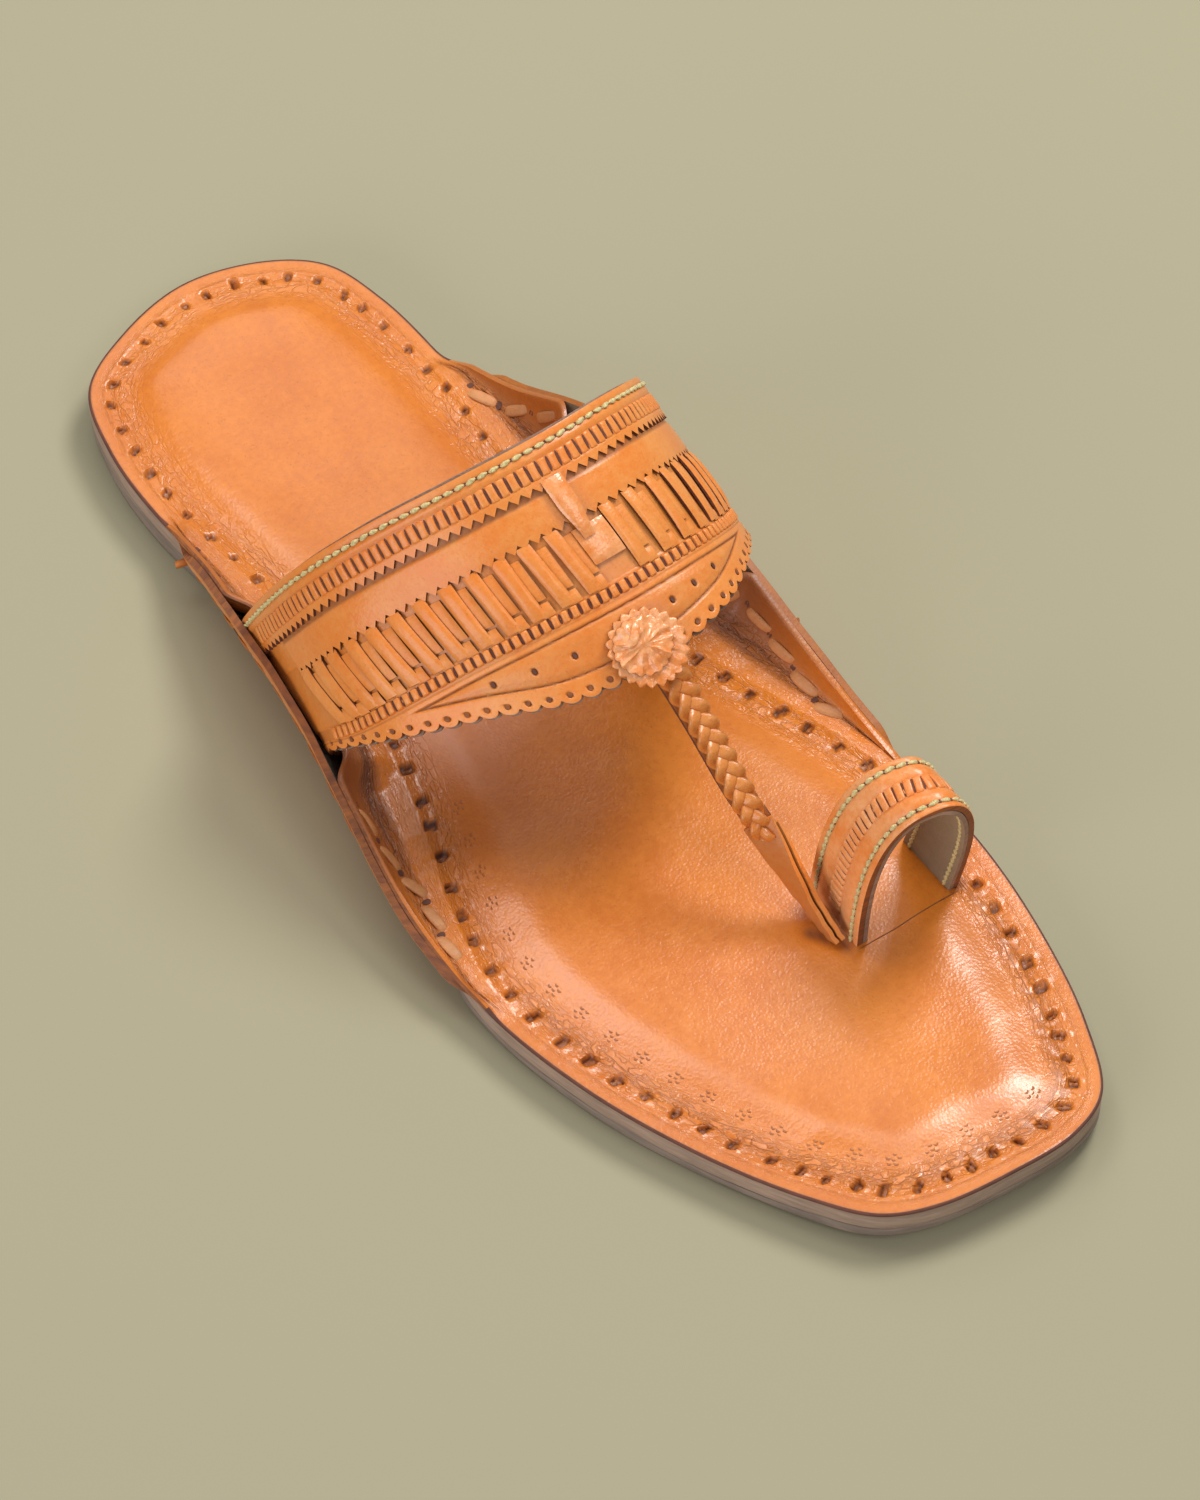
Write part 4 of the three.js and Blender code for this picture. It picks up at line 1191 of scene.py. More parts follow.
RIB_ROW, RIB_LENGTH, RIB_PITCH = 7.0, 3.5, 2.25
PINK_PITCH, PINK_DEPTH = 2.6, 1.5
STRIP_FRONT, PLAIN_BACK, PLAIN_FRONT = 11.3, 10.4, 19.9
LADDER_BACK, LADDER_FRONT, LADDER_PITCH = 20.3, 33.5, 5.95
BAR_BACK, BAR_FRONT, BAR_PITCH = 33.9, 36.4, 2.2
LEAF_BACK, LEAF_BORDER = 38.5, 4.9
LEAF_HOLES = [-30.0, -21.5, -13.0, 9.5, 15.5, 22.0]
SCALLOP_PITCH, SCALLOP_DEPTH, SCALLOP_HOLE = 4.25, 1.6, 1.85
SEAM_ROW, LEAF_ROW = 2.9, 44.0
BAND_THICK, BAND_LINING = 1.15, 0.95
REAR_STRIP_THICK, PLAIN_STRIP_THICK = 0.95, 0.48
BAR_ROW = (BAR_BACK + BAR_FRONT) / 2


def scallop_phase(t):
    """Place within a scallop, -1 to 1, with 0 at its tip."""
    s = np.interp(t, BAND_T, run_length(BAND_FRONT_RAIL(BAND_T))) / SCALLOP_PITCH
    return 2 * (s - np.floor(s)) - 1


def scallop_edge(t, depth=SCALLOP_DEPTH, beyond=0.0):
    """Distance from the back edge to the scalloped front edge."""
    u = scallop_phase(t)
    return band_width(t) + beyond - depth * (1 - np.sqrt(np.clip(1 - u * u, 0, 1)))


def leaf_hole_places():
    t = band_t_at(LEAF_ROW, np.array(LEAF_HOLES))
    return t, LEAF_BACK + 0.52 * (band_width(t) - LEAF_BORDER - LEAF_BACK)


def band_relief(t, b):
    """Height and dark share of the band leather's tooling; the dark in its holes is painted shade."""
    width = band_width(t)
    from_front = width - b
    arc = np.interp(t, BAND_T, run_length(band_point(BAND_T, 35.0)))
    ladder = (smooth(LADDER_BACK - 2.6, LADDER_BACK - 2.2, b)
              * smooth(LADDER_FRONT + 0.2, LADDER_FRONT - 0.2, b))
    ladder *= smooth(BAND_LOW_T - 0.02, BAND_LOW_T + 0.02, t)
    bars = smooth(BAR_BACK - 0.4, BAR_BACK - 0.1, b) * smooth(BAR_FRONT + 0.3, BAR_FRONT, b)
    height = -0.35 * ladder - 0.2 * bars
    stain_and_shade = 0.12 * ladder + 0.25 * bars
    line = np.exp(-((b - 37.0) / 0.2) ** 2)
    height, stain_and_shade = height - 0.15 * line, stain_and_shade + 0.3 * line
    leaf = np.minimum(b - LEAF_BACK, from_front - LEAF_BORDER)
    groove = np.exp(-(leaf / 0.24) ** 2)
    height = height - 0.4 * groove + 0.28 * smooth(0.1, 2.2, leaf)
    stain_and_shade = stain_and_shade + 0.8 * groove + 0.1 * smooth(0.2, 0.6, leaf)
    hole = smooth(0.75, 0.4, np.hypot(scallop_phase(t) * SCALLOP_PITCH / 2, from_front - SCALLOP_HOLE))
    leaf_length = run_length(band_point(BAND_T, LEAF_ROW))[-1]
    for ht, hb in zip(*leaf_hole_places()):
        away = np.hypot((t - ht) * leaf_length, (b - hb) * 0.7)
        hole = np.maximum(hole, smooth(0.7, 0.3, away))
    # Holes are sunk and painted dark as shade.
    height = height - 0.6 * hole
    stain_and_shade = stain_and_shade + 0.8 * hole
    height = height + 0.05 * soft_noise(arc / 3.1, b / 2.7, 3)
    return height, np.clip(stain_and_shade, 0, 1)


def band_rows():
    """Rows from the back edge to the front: fixed distances, then shares of what is left."""
    fixed = np.concatenate([[1.2, 1.9, 4, 8, 12, 15, 17], np.arange(17.4, 21.6, 0.35), [24, 27, 30, 32],
                            np.arange(33.0, 36.8, 0.3)])
    return fixed, np.linspace(0, 1, 49)[1:]


def build_band_base():
    """Scalloped band with its tooling."""
    along = run_length(band_point(BAND_T, 40.0))
    t = np.interp(np.linspace(0, along[-1], 500), along, BAND_T)
    fixed, shares = band_rows()
    edge = scallop_edge(t)
    start = np.minimum(fixed[-1], edge - 0.6)
    rows = [start * value / fixed[-1] for value in fixed]
    rows += [start + (edge - start) * share for share in shares]
    b = np.array(rows)
    tt = np.broadcast_to(t[None], b.shape)
    height, stain_and_shade = band_relief(tt, b)
    place, _, _, out = band_frame(tt, b, height)
    return sheet_piece("instep_band", place, out, BAND_THICK + height * 0.8, ["strap", "rim_edge", "suede"],
                       {"stain_and_shade": stain_and_shade}, 60, 0.12)


def build_band_lining():
    """Lining that shows as a thin edge below the scallops."""
    t = np.linspace(0, 1, 420)
    edge = scallop_edge(t, SCALLOP_DEPTH, 0.45)
    b = np.array([(edge - 0.6) * share + 0.6 for share in (0, 0.03, 0.2, 0.4, 0.6, 0.8, 0.93, 1.0)])
    place, _, _, out = band_frame(np.broadcast_to(t[None], b.shape), b, np.full(b.shape, -1.2))
    return sheet_piece("band_lining", place, out, BAND_LINING, ["raw_edge", "raw_edge", "suede"],
                       None, 50, 0.1)


def pinked_strip(name, back, front, low_t, high_t, lift_off, thick, relief):
    """Strip laid on the band with a zigzag front edge."""
    arc = run_length(band_point(BAND_T, front))
    low, high = np.interp([low_t, high_t], BAND_T, arc)
    teeth = int(round((high - low) / PINK_PITCH))
    t = np.interp(np.linspace(low, high, 2 * teeth * 2 + 1), arc, BAND_T)
    phase = np.arange(len(t)) % 4
    reach = front - PINK_DEPTH * np.array([0.0, 0.5, 1.0, 0.5])[phase]
    inner = front - PINK_DEPTH - 0.5
    shares = np.concatenate([[0, 0.04], np.linspace(0.1, 1.0, 24)])
    b = [np.full(len(t), back + (inner - back) * share) for share in shares] + [reach]
    b = np.array(b)
    tt = np.broadcast_to(t[None], b.shape)
    height, stain_and_shade = relief(tt, b)
    place, _, _, out = band_frame(tt, b, lift_off + height)
    return sheet_piece(name, place, out, thick, ["strap", "burnished", "suede"], {"stain_and_shade": stain_and_shade}, 40, 0.16)


def rear_strip_relief(t, b):
    ribs = smooth(4.7, 5.0, b) * smooth(9.0, 8.7, b)
    # The seam line under the stitches is painted darker, as shade between the stitches.
    seam = np.exp(-((b - 2.9) / 0.5) ** 2)
    puff = 0.12 * bump_at(b, 4.1, 1.6)
    return -0.12 * ribs - 0.2 * seam + puff, 0.22 * ribs + 0.4 * seam


def plain_strip_relief(t, b):
    wave = 0.07 * soft_noise(t * 40, b / 4, 8)
    shadow = smooth(12.4, 11.6, b)
    return wave - 0.25 * shadow + 0.16 * bump_at(b, 15.6, 9.0), 0.55 * shadow


def band_pads(name, shape, finish, b, t, size, height, **how):
    """Copies of a shape along row b of the band."""
    return repeat(name, shape, finish, band_frame(t, b, height), size, **how)


def curved_slat(t, back, front, width, base, crown, bow=0.0, rows=9, columns=7, narrow=0.0):
    """Arched thong that crosses a row of the band, as points and faces."""
    b = np.linspace(back, front, rows)
    run, length = np.linspace(-1, 1, columns), np.linspace(-1, 1, rows)[:, None]
    along_scale = 1 / run_length(band_point(BAND_T, (back + front) / 2))[-1]
    taper = 1 - narrow * smooth(-0.2, 1.0, length)
    tt = t + (run[None] * taper * width / 2 + bow * length) * along_scale
    arch = 1 - 0.55 * np.abs(length) ** 3
    height = base + (crown - base) * arch * (1 - 0.35 * np.abs(run[None]) ** 3)
    place, _, _, out = band_frame(tt, np.broadcast_to(b[:, None], (rows, columns)), height)
    return sheet_mesh(place, out, 0.55, 0.14)


def slat_piece(name, specs, finish):
    """One piece from several curved slats."""
    slats = [curved_slat(**spec) for spec in specs]
    verts, faces = join_meshes([slat[:2] for slat in slats])
    slots = np.concatenate([slat[2] for slat in slats])
    return mesh_piece(name, verts, faces, [finish, "burnished", "suede"], slots)


def halfway(t):
    """Places between neighbours."""
    return (t[1:] + t[:-1]) / 2


def build_ladder():
    """Thongs and panels woven through the ladder row."""
    low, high = band_t_at(27, [-70])[0], band_t_at(27, [68])[0]
    t = band_span(27, LADDER_PITCH, low, high)
    half = (t[1] - t[0]) / 2
    patch_t = band_t_at(26, [2.0])[0]
    rng = np.random.default_rng(4)
    slats, panels = [], []
    for place in t:
        if abs(place - patch_t) > half * 0.8:
            slats.append(dict(t=place, back=LADDER_BACK - 1.2, front=LADDER_FRONT,
                              width=rng.uniform(2.9, 3.15), base=-0.1, crown=rng.uniform(1.0, 1.25),
                              bow=0.8 + rng.uniform(-0.3, 0.3), columns=9))
    for place in t[:-1] + half:
        if abs(place - patch_t) > half * 1.1:
            end = LADDER_FRONT - rng.uniform(3.0, 3.5)
            panels.append(dict(t=place - half * 0.1, back=LADDER_BACK + 0.7, front=end,
                               width=rng.uniform(2.95, 3.1), base=-0.05, crown=0.42, bow=0.45))
            panels.append(dict(t=place + half * 0.24, back=end + 0.6, front=LADDER_FRONT + 0.3,
                               width=2.5, base=0.0, crown=0.5, rows=4, bow=0.15))
    return slats, panels


def build_keeper():
    """Keeper loop over the plain strip and the glossy patch in the ladder in front of it."""
    loop = dict(t=band_t_at(15.0, [0.9])[0], back=9.4, front=23.4, width=4.7, base=0.75, crown=2.3,
                bow=0.5, rows=15, columns=11, narrow=0.45)
    patch = dict(t=band_t_at(26.0, [2.6])[0], back=LADDER_BACK + 0.5, front=29.0, width=7.4,
                 base=0.25, crown=1.0, bow=0.5, rows=11, columns=11)
    return [loop, patch]


# ------------------------------------------------------------------ thong and braid

THONG_RAILS = {key: even_rows(values) for key, values in THONG.items()}
PLAIT_LENGTH = 11.2
STRAND_WIDTH, STRAND_THICK = 2.8, 1.4


def thong_frame(u):
    """Places down the thong with their sideways and upward directions and the thong's width."""
    u = np.asarray(u, float)
    at = lambda v: np.stack([THONG_RAILS[k](np.clip(v, 0, 1)) for k in "xyz"], -1)
    place, forward = at(u), unit(at(u + 0.01) - at(u - 0.01))
    flat = np.tile([1.0, 0.0, 0.0], (len(u), 1))
    flat = unit(flat - forward * np.sum(flat * forward, 1, keepdims=True))
    angle = np.radians(THONG_RAILS["turn"](u))[:, None]
    side = flat * np.cos(angle) + np.cross(forward, flat) * np.sin(angle)
    up = np.cross(forward, side)
    up *= np.where(up[:, 2:3] < 0, -1, 1) if angle.max() < 0.5 else 1
    return place, side, -up if up[0, 2] < 0 else up, THONG_RAILS["width"](u)


def build_braid():
    """Three flat strands plaited over each other."""
    u = np.linspace(0.06, 0.54, 240)
    place, side, up, width = thong_frame(u)
    arc = run_length(place)
    parts, stain_and_shade = [], []
    for k in range(3):
        phase = 2 * np.pi * (arc / PLAIT_LENGTH + k / 3)
        reach = width / 2 - 2.1
        narrow = 1 - 0.25 * smooth(arc[-1] - 8, arc[-1], arc)
        line = (place + side * (reach * narrow * np.sin(phase))[:, None]
                + up * (0.75 + 0.75 * np.sin(2 * phase))[:, None])
        tangent = unit(np.gradient(line, axis=0))
        flat = unit(side - tangent * np.sum(side * tangent, 1, keepdims=True))
        lean = 0.45 * np.cos(phase)
        normal = np.cross(tangent, flat)
        normal *= np.where(np.sum(normal * up, 1, keepdims=True) < 0, -1, 1)
        tilted = flat * np.cos(lean)[:, None] + normal * np.sin(lean)[:, None]
        raised = np.cross(tangent, tilted)
        raised *= np.where(np.sum(raised * up, 1, keepdims=True) < 0, -1, 1)
        parts.append(tube_mesh(line, tilted, raised, STRAND_WIDTH * narrow,
                               np.full(len(u), STRAND_THICK), 14, 2.6))
        # Painted shade along each strand's edges, where the strands lie against each other, stronger or
        # weaker along the plait.
        edge = np.abs(np.cos(np.linspace(0, 2 * np.pi, 14, endpoint=False))) ** 6
        stain_and_shade.append(np.outer(0.35 + 0.3 * np.cos(2 * phase), edge).ravel())
    verts, faces = join_meshes(parts)
    return mesh_piece("braid_strands", verts, faces, ["plait"], None, {"stain_and_shade": np.concatenate(stain_and_shade)}, 60)


def thong_strip(name, u_range, offset, thick, wide, finishes, wave=0.0, stain_and_shade=0.0):
    """Flat strap along a stretch of the thong."""
    u = np.linspace(*u_range, 120)
    place, side, up, width = thong_frame(u)
    across = np.linspace(-0.5, 0.5, 9)
    curl = wave * np.sin(across[:, None] * 5 + u[None] * 60)
    top = (place[None] + side[None] * (across[:, None] * (width * wide)[None])[..., None]
           + up[None] * (offset + curl)[..., None])
    out = np.broadcast_to(up[None], top.shape)
    return sheet_piece(name, top, out, thick, finishes, {"stain_and_shade": np.full(top.shape[:2], stain_and_shade)}, 50, 0.15)


# ------------------------------------------------------------------ toe loop

def loop_point(angle, across, inset=0.0):
    """Point of the toe loop: angle 0 at the inner foot to pi at the outer; across 0 back, 1 front."""
    angle, across, inset = np.broadcast_arrays(np.asarray(angle, float), across, inset)
    power = 2 / LOOP_ROUNDNESS
    reach = -np.sign(np.cos(angle)) * np.abs(np.cos(angle)) ** power
    rise = np.abs(np.sin(angle)) ** power
    edges = []
    for edge in (LOOP_BACK, LOOP_FRONT):
        (ix, iy), (ox, oy) = edge["inner"], edge["outer"]
        half = (ox - ix) / 2 - inset
        edges.append(np.stack([
            (ix + ox) / 2 + half * reach,
            iy + (oy - iy) * (1 + reach) / 2 + edge["lean"] * rise * (1 + edge["skew"] * reach),
            LOOP_FOOT + (edge["crown"] - LOOP_FOOT - inset) * rise * (1 + LOOP_RISE_SKEW * reach)], -1))
    return edges[0] * (1 - across[..., None]) + edges[1] * across[..., None]


LOOP_ANGLES = np.linspace(0.0, np.pi, 721)
LOOP_ARC = run_length(loop_point(LOOP_ANGLES, 0.5))
LOOP_WIDTH, LOOP_SEAM = 15.6, 1.9
LOOP_THICK, LOOP_LINING, LOOP_WALL = 1.45, 1.1, 2.6


def loop_angle_at(arc):
    return np.interp(arc, LOOP_ARC, LOOP_ANGLES)


def loop_frame(angle, across, height=0.0, inside=False):
    """Places on the loop's outer or inner face with their along, forward and outward directions."""
    step = 4e-3
    base = LOOP_WALL if inside else 0.0
    place = loop_point(angle, across, base)
    along = unit(loop_point(np.clip(angle + step, 0, np.pi), across, base)
                 - loop_point(np.clip(angle - step, 0, np.pi), across, base))
    forward = unit(loop_point(angle, across + 0.02, base) - loop_point(angle, across - 0.02, base))
    out = unit(np.cross(forward, along))
    sign = -1 if inside else 1
    return place + out * sign * np.asarray(height, float)[..., None], along, forward, out * sign


def build_toe_loop():
    """Outer strap of the toe loop and its lining."""
    arc = np.linspace(0, LOOP_ARC[-1], 230)
    angle = loop_angle_at(arc)
    across = np.concatenate([[0, 0.015], np.linspace(0.04, 0.96, 44), [0.985, 1.0]])
    aa, ww = np.meshgrid(angle, across)
    mm = ww * LOOP_WIDTH
    ladder = smooth(5.4, 5.8, mm) * smooth(10.2, 9.8, mm)
    seams = sum(np.exp(-((edge - LOOP_SEAM) / 0.55) ** 2) for edge in (mm, LOOP_WIDTH - mm))
    puff = bump_at(mm, 4.1, 3.6) + bump_at(LOOP_WIDTH - mm, 4.1, 3.6)
    height = -0.1 * ladder - 0.22 * seams + 0.2 * puff + 0.05 * soft_noise(aa * 14, mm / 2.5, 12)
    place, _, _, out = loop_frame(aa, ww, height)
    # The seam lines are painted darker as shade between the stitches; the pressed row and both feet are
    # darker too.
    stain_and_shade = 0.12 * ladder + 0.35 * seams + 0.5 * smooth(0.06, 0.0, np.minimum(aa, np.pi - aa))
    face = sheet_piece("toe_loop_strap", place, out, LOOP_THICK, ["loop", "rim_edge", "suede"],
                       {"stain_and_shade": np.clip(stain_and_shade, 0, 1)}, 50, 0.35)
    angle = loop_angle_at(np.linspace(0, LOOP_ARC[-1], 120))
    under, _, _, out = loop_frame(*np.meshgrid(angle, np.linspace(0, 1, 12)), -1.5)
    lining = sheet_piece("toe_loop_lining", under, out, LOOP_LINING, ["lining", "raw_edge", "lining"],
                         None, 50, 0.2)
    return face, lining


# ------------------------------------------------------------------ rosette

FLOWER_RADIUS, FLOWER_TEETH = 8.3, 22
HEART_RADIUS, HEART_TEETH = 6.2, 19


def toothed_disc(centre, frame_axes, radius, teeth, depth, thick, dome, crumple, seed, turn=0.0):
    """Leather disc with a cut toothed edge and crumpled face, as points, faces and slots."""
    along, forward, out = frame_axes
    columns = teeth * 8
    angle = np.linspace(0, 2 * np.pi, columns, endpoint=False)
    saw = np.abs(((np.arange(columns) / 8.0) % 1) * 2 - 1)
    around = (np.cos(angle), np.sin(angle))
    uneven = 0.5 * crumple * soft_noise(around[0] * 2.1, around[1] * 2.1, seed + 4)
    edge = radius + uneven - depth * (1 - saw) ** 1.3
    rows = []

    def ring(share, z, face):
        r = edge * share if share > 0.8 else (radius * 0.93 + uneven) * share
        broad = crumple * soft_noise(r * around[0] / 1.9, r * around[1] / 1.9, seed)
        folds = 1.1 - 2.2 * np.abs(soft_noise(angle * teeth / 4.4, share * 1.1 + 0 * angle, seed + 2)) ** 0.7
        folds = folds * np.minimum(1, 8 * np.minimum(angle, 2 * np.pi - angle))
        rough = broad + 0.55 * crumple * folds * smooth(0.1, 0.7, share)
        height = z + dome * (1 - share ** 2) + rough * face
        rows.append(centre + np.outer(r * np.cos(angle + turn), along)
                    + np.outer(r * np.sin(angle + turn), forward) + np.outer(height, out))

    for share in (0.1, 0.6, 0.98):
        ring(share, 0.0, 0.7)
    for share, z in ((1.0, 0.2), (1.0, 0.75)):
        ring(share, thick * z, 0.9)
    for share in (0.97, 0.92, 0.86, 0.8, 0.74, 0.67, 0.6, 0.53, 0.46, 0.39, 0.32, 0.25, 0.18, 0.11, 0.05):
        ring(share, thick, 1.0)
    slots = [2] * (2 * columns) + [1] * (2 * columns) + [0] * ((len(rows) - 5) * columns)
    return np.concatenate(rows), capped_rings(len(rows), columns), slots + [2, 0]


def thong_end(name, spots, up, widths, thick, finish, around, power, taper=0.0):
    """Loose flat end of a thong through the spots, lying towards up."""
    tangent = unit(np.gradient(spots, axis=0))
    side = unit(np.cross(up, tangent))
    verts, faces = tube_mesh(spots, side, np.cross(tangent, side), widths, np.full(len(spots), thick),
                             around, power, taper)
    return mesh_piece(name, verts, faces, [finish], sharp=60)


def build_rosette():
    """Flower, crumpled heart and the thong's knot."""
    t = np.array([ROSETTE_T])
    centre, along, forward, out = (v[0] for v in band_frame(t, band_width(t) * 0.925, np.array([0.5])))
    axes = (along, forward, out)
    finishes = ("rosette", "rim_edge", "suede")
    verts, faces, slots = toothed_disc(centre, axes, FLOWER_RADIUS, FLOWER_TEETH, 0.85, 1.2, 0.5, 0.25, 2)
    lower = mesh_piece("rosette_flower", verts, faces, finishes, slots, sharp=50)
    raised = centre + out * 1.3 - along * 0.7 - forward * 0.9
    verts, faces, slots = toothed_disc(raised, axes, HEART_RADIUS, HEART_TEETH, 0.5, 0.9, 1.1, 0.7, 5, 0.2)
    heart = mesh_piece("rosette_heart", verts, faces, finishes, slots, sharp=60)
    # The thong's end is pulled through the rosette and folded flat as a small knot.
    run = np.linspace(0, 1, 28)
    spots = raised + np.outer(-3.6 + 5.2 * run, along) + np.outer(-3.0 + 1.4 * np.sin(run * 5), forward)
    spots = spots + np.outer(1.6 + 0.6 * np.sin(run * np.pi) - 1.3 * (2 * run - 1) ** 4, out)
    knot = thong_end("rosette_knot", spots, out, 2.4 - 0.9 * run, 0.8, "rosette", 14, 3.0, 0.15)
    return lower, heart, knot


# ------------------------------------------------------------------ settings

COLOUR = dict(subtype="COLOR", size=3, min=0, max=1)


class SandalFinishSettings(bpy.types.PropertyGroup):
    """Colours of the leathers, edges and thread."""
    tan: bpy.props.FloatVectorProperty(
        name="Tan", description="Grain side of the leather", default=(0.83, 0.250, 0.025), **COLOUR)
    pale_tan: bpy.props.FloatVectorProperty(
        name="Pale Tan", description="Grain side of the straps", default=(0.89, 0.335, 0.078), **COLOUR)
    deep_tan: bpy.props.FloatVectorProperty(
        name="Deep Tan", description="Darker patches of the grain side", default=(0.69, 0.182, 0.020),
        **COLOUR)
    burnished: bpy.props.FloatVectorProperty(
        name="Burnished", description="Dark edges, holes and pressed lines", default=(0.10, 0.033, 0.020),
        **COLOUR)
    lace: bpy.props.FloatVectorProperty(
        name="Thong Lace", description="Leather thong of the hand stitches", default=(0.74, 0.31, 0.11),
        **COLOUR)
    raw_edge: bpy.props.FloatVectorProperty(
        name="Raw Edge", description="Uncoloured cut edge of the straps", default=(0.42, 0.27, 0.20),
        **COLOUR)
    sole_edge: bpy.props.FloatVectorProperty(
        name="Sole Edge", description="Cut edge of the middle leather", default=(0.48, 0.33, 0.25), **COLOUR)
    bottom: bpy.props.FloatVectorProperty(
        name="Bottom Leather", description="Worn grey-brown bottom layer", default=(0.33, 0.25, 0.20),
        **COLOUR)
    suede: bpy.props.FloatVectorProperty(
        name="Suede", description="Flesh side of the straps", default=(0.36, 0.275, 0.17), **COLOUR)
    thread: bpy.props.FloatVectorProperty(
        name="Thread", description="Waxed sewing thread", default=(0.82, 0.70, 0.32), **COLOUR)


class SandalSizeSettings(bpy.types.PropertyGroup):
    """Sizes of the hand work."""
    stitch_length: bpy.props.FloatProperty(
        name="Stitch Length", description="Length of one sewn stitch", unit="LENGTH",
        default=2.5 * MM, min=1 * MM, max=5 * MM)
    thread_thickness: bpy.props.FloatProperty(
        name="Thread Thickness", description="Thickness of the sewing thread", unit="LENGTH",
        default=0.82 * MM, min=0.2 * MM, max=2 * MM)
    lace_pitch: bpy.props.FloatProperty(
        name="Lace Pitch", description="Distance between thong stitches on the ears", unit="LENGTH",
        default=7.8 * MM, min=4 * MM, max=15 * MM)
    lace_width: bpy.props.FloatProperty(
        name="Lace Width", description="Width of a thong stitch", unit="LENGTH",
        default=2.3 * MM, min=1 * MM, max=5 * MM)


class SandalStageSettings(bpy.types.PropertyGroup):
    """Floor, lights and camera."""
    floor: bpy.props.FloatVectorProperty(
        name="Floor", description="Colour of the floor", default=(0.415, 0.382, 0.258), **COLOUR)
    key_power: bpy.props.FloatProperty(
        name="Key Power", description="Power of the main soft light, in watts", default=12.5, min=0, max=500)
    fill: bpy.props.FloatProperty(
        name="Surround", description="Strength of the light from all round", default=0.28, min=0, max=5)
    lens: bpy.props.FloatProperty(
        name="Lens", description="Focal length on a 36 mm frame, in millimetres", default=190.0,
        min=20, max=400)
    distance: bpy.props.FloatProperty(
        name="Camera Distance", description="From the camera to what it looks at", unit="LENGTH",
        default=1.595, min=0.3, max=5)


# ------------------------------------------------------------------ operators

def settle(piece, slot, *nodes):
    """Puts a piece on the sandal's body in place of CAD nodes; its slot argument is not used."""
    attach(piece, "root")
    if nodes:
        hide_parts(*nodes)
    return piece


class SANDAL_OT_sole_layers(bpy.types.Operator):
    """Bottom leather with its heel and the tan middle leather"""
    bl_idname = "sandal.sole_layers"
    bl_label = "Sole Layers"

    def execute(self, context):
        bottom = sole_layer("bottom_layer", outsole_bottom, lambda y: OUTSOLE_THICK + lift(y), 0.25,
                            "bottom", 0.18, 1)
        settle(bottom, "bottom_leather", "outsole")
        middle = sole_layer("middle_layer", midsole_base, lambda y: midsole_base(y) + MIDSOLE_THICK + 0.2,
                            0.12, "sole_edge", 0.14, 2)
        settle(middle, "edge_leather", "midsole")
        return {"FINISHED"}


class SANDAL_OT_footbed(bpy.types.Operator):
    """Top leather with cushion, thong holes, ear linings and pressed flowers"""
    bl_idname = "sandal.footbed"
    bl_label = "Footbed"

    def execute(self, context):
        settle(build_footbed(), "footbed_leather", "insole")
        places = flower_stamps()
        upright = [np.tile(axis, (len(places), 1)) for axis in np.eye(3)]
        dots = repeat("flower_stamps", dimple_shape(), "pressed", (places, *upright), (0.72, 0.72, 0.3),
                      wander=0, uneven=0.3)
        settle(dots, "footbed_leather")
        settle(knife_line(), "footbed_leather")
        return {"FINISHED"}


# Loose thong ends beside the ears, left long where they were knotted off: start, steps, width.
LACE_ENDS = {
    "lace_end_lateral": ((-36.2, 77.0, 10.2), [(-1.6, 0.5, 0.2), (-1.5, 0.4, -0.1), (-1.3, 0.5, -0.3)], 2.0),
    "lace_end_medial": ((49.0, -13.0, 17.2), [(0.7, 0.1, 0.5), (0.6, -0.1, 0.4), (0.4, -0.3, 0.2)], 1.6),
}

# Rows of thong stitches on an ear: on its outside or not, distance below the rim, first and last y.
LACE_ROWS = {"outer": (True, 5.2, 72, -30), "rear": (False, 5.2, 74, 53), "front": (False, 6.8, 1, -36)}


class SANDAL_OT_ears(bpy.types.Operator):
    """Outer ear leathers and their thong stitches"""
    bl_idname = "sandal.ears"
    bl_label = "Side Ears"

    def execute(self, context):
        sizes = context.scene.sandal_sizes
        pitch, wide = sizes.lace_pitch / MM, sizes.lace_width / MM
        for side in SIDES:
            settle(ear_leather(side), "strap_leather", "ear_" + side)
            slit_rows = []
            for label, (outside, below, first, last) in LACE_ROWS.items():
                y = np.arange(first, last, -pitch)
                fine = np.arange(first + 6, last - 6, -0.5)
                frame_rows = ear_row(side, below, fine, outside)
                at, between = ([np.argmin(abs(fine - v)) for v in places] for places in (y, y + pitch / 2))
                slit_rows.append([part[between] for part in frame_rows])
                if (side, label) == ("lateral", "rear"):
                    continue
                place, along, forward, out = (part[at] for part in frame_rows)
                # Laces on an ear's outside take the darker pressed leather as painted shade, that face being
                # turned from the light.
                finish, flat, sunk = ("pressed", 0.5, 0.2) if outside else ("lace", 0.8, 0.1)
                laces = repeat("laces_%s_%s" % (label, side), lace_shape(), finish,
                               (place - out * sunk, along, forward, out), (pitch * 0.92, wide, flat),
                               wander=0.14, uneven=0.16)
                settle(laces, "strap_leather")
            # Dark dots in the slits where the laces pass: painted shade.
            slits = repeat("ear_slits_" + side, dimple_shape(), "burnished", joined(slit_rows),
                           (1.0, 1.5, 0.3), wander=0.4, uneven=0.2)
            settle(slits, "strap_leather")
        run = np.linspace(0, 1, 16)
        for name, (start, steps, width) in LACE_ENDS.items():
            spots = even_rows(np.cumsum(np.vstack([start, steps]), 0))(run)
            end = thong_end(name, spots, [0.2, 0.1, 1.0], width * (1 - 0.12 * run), 1.1, "pressed", 10, 2.6)
            settle(end, "strap_leather")
        return {"FINISHED"}


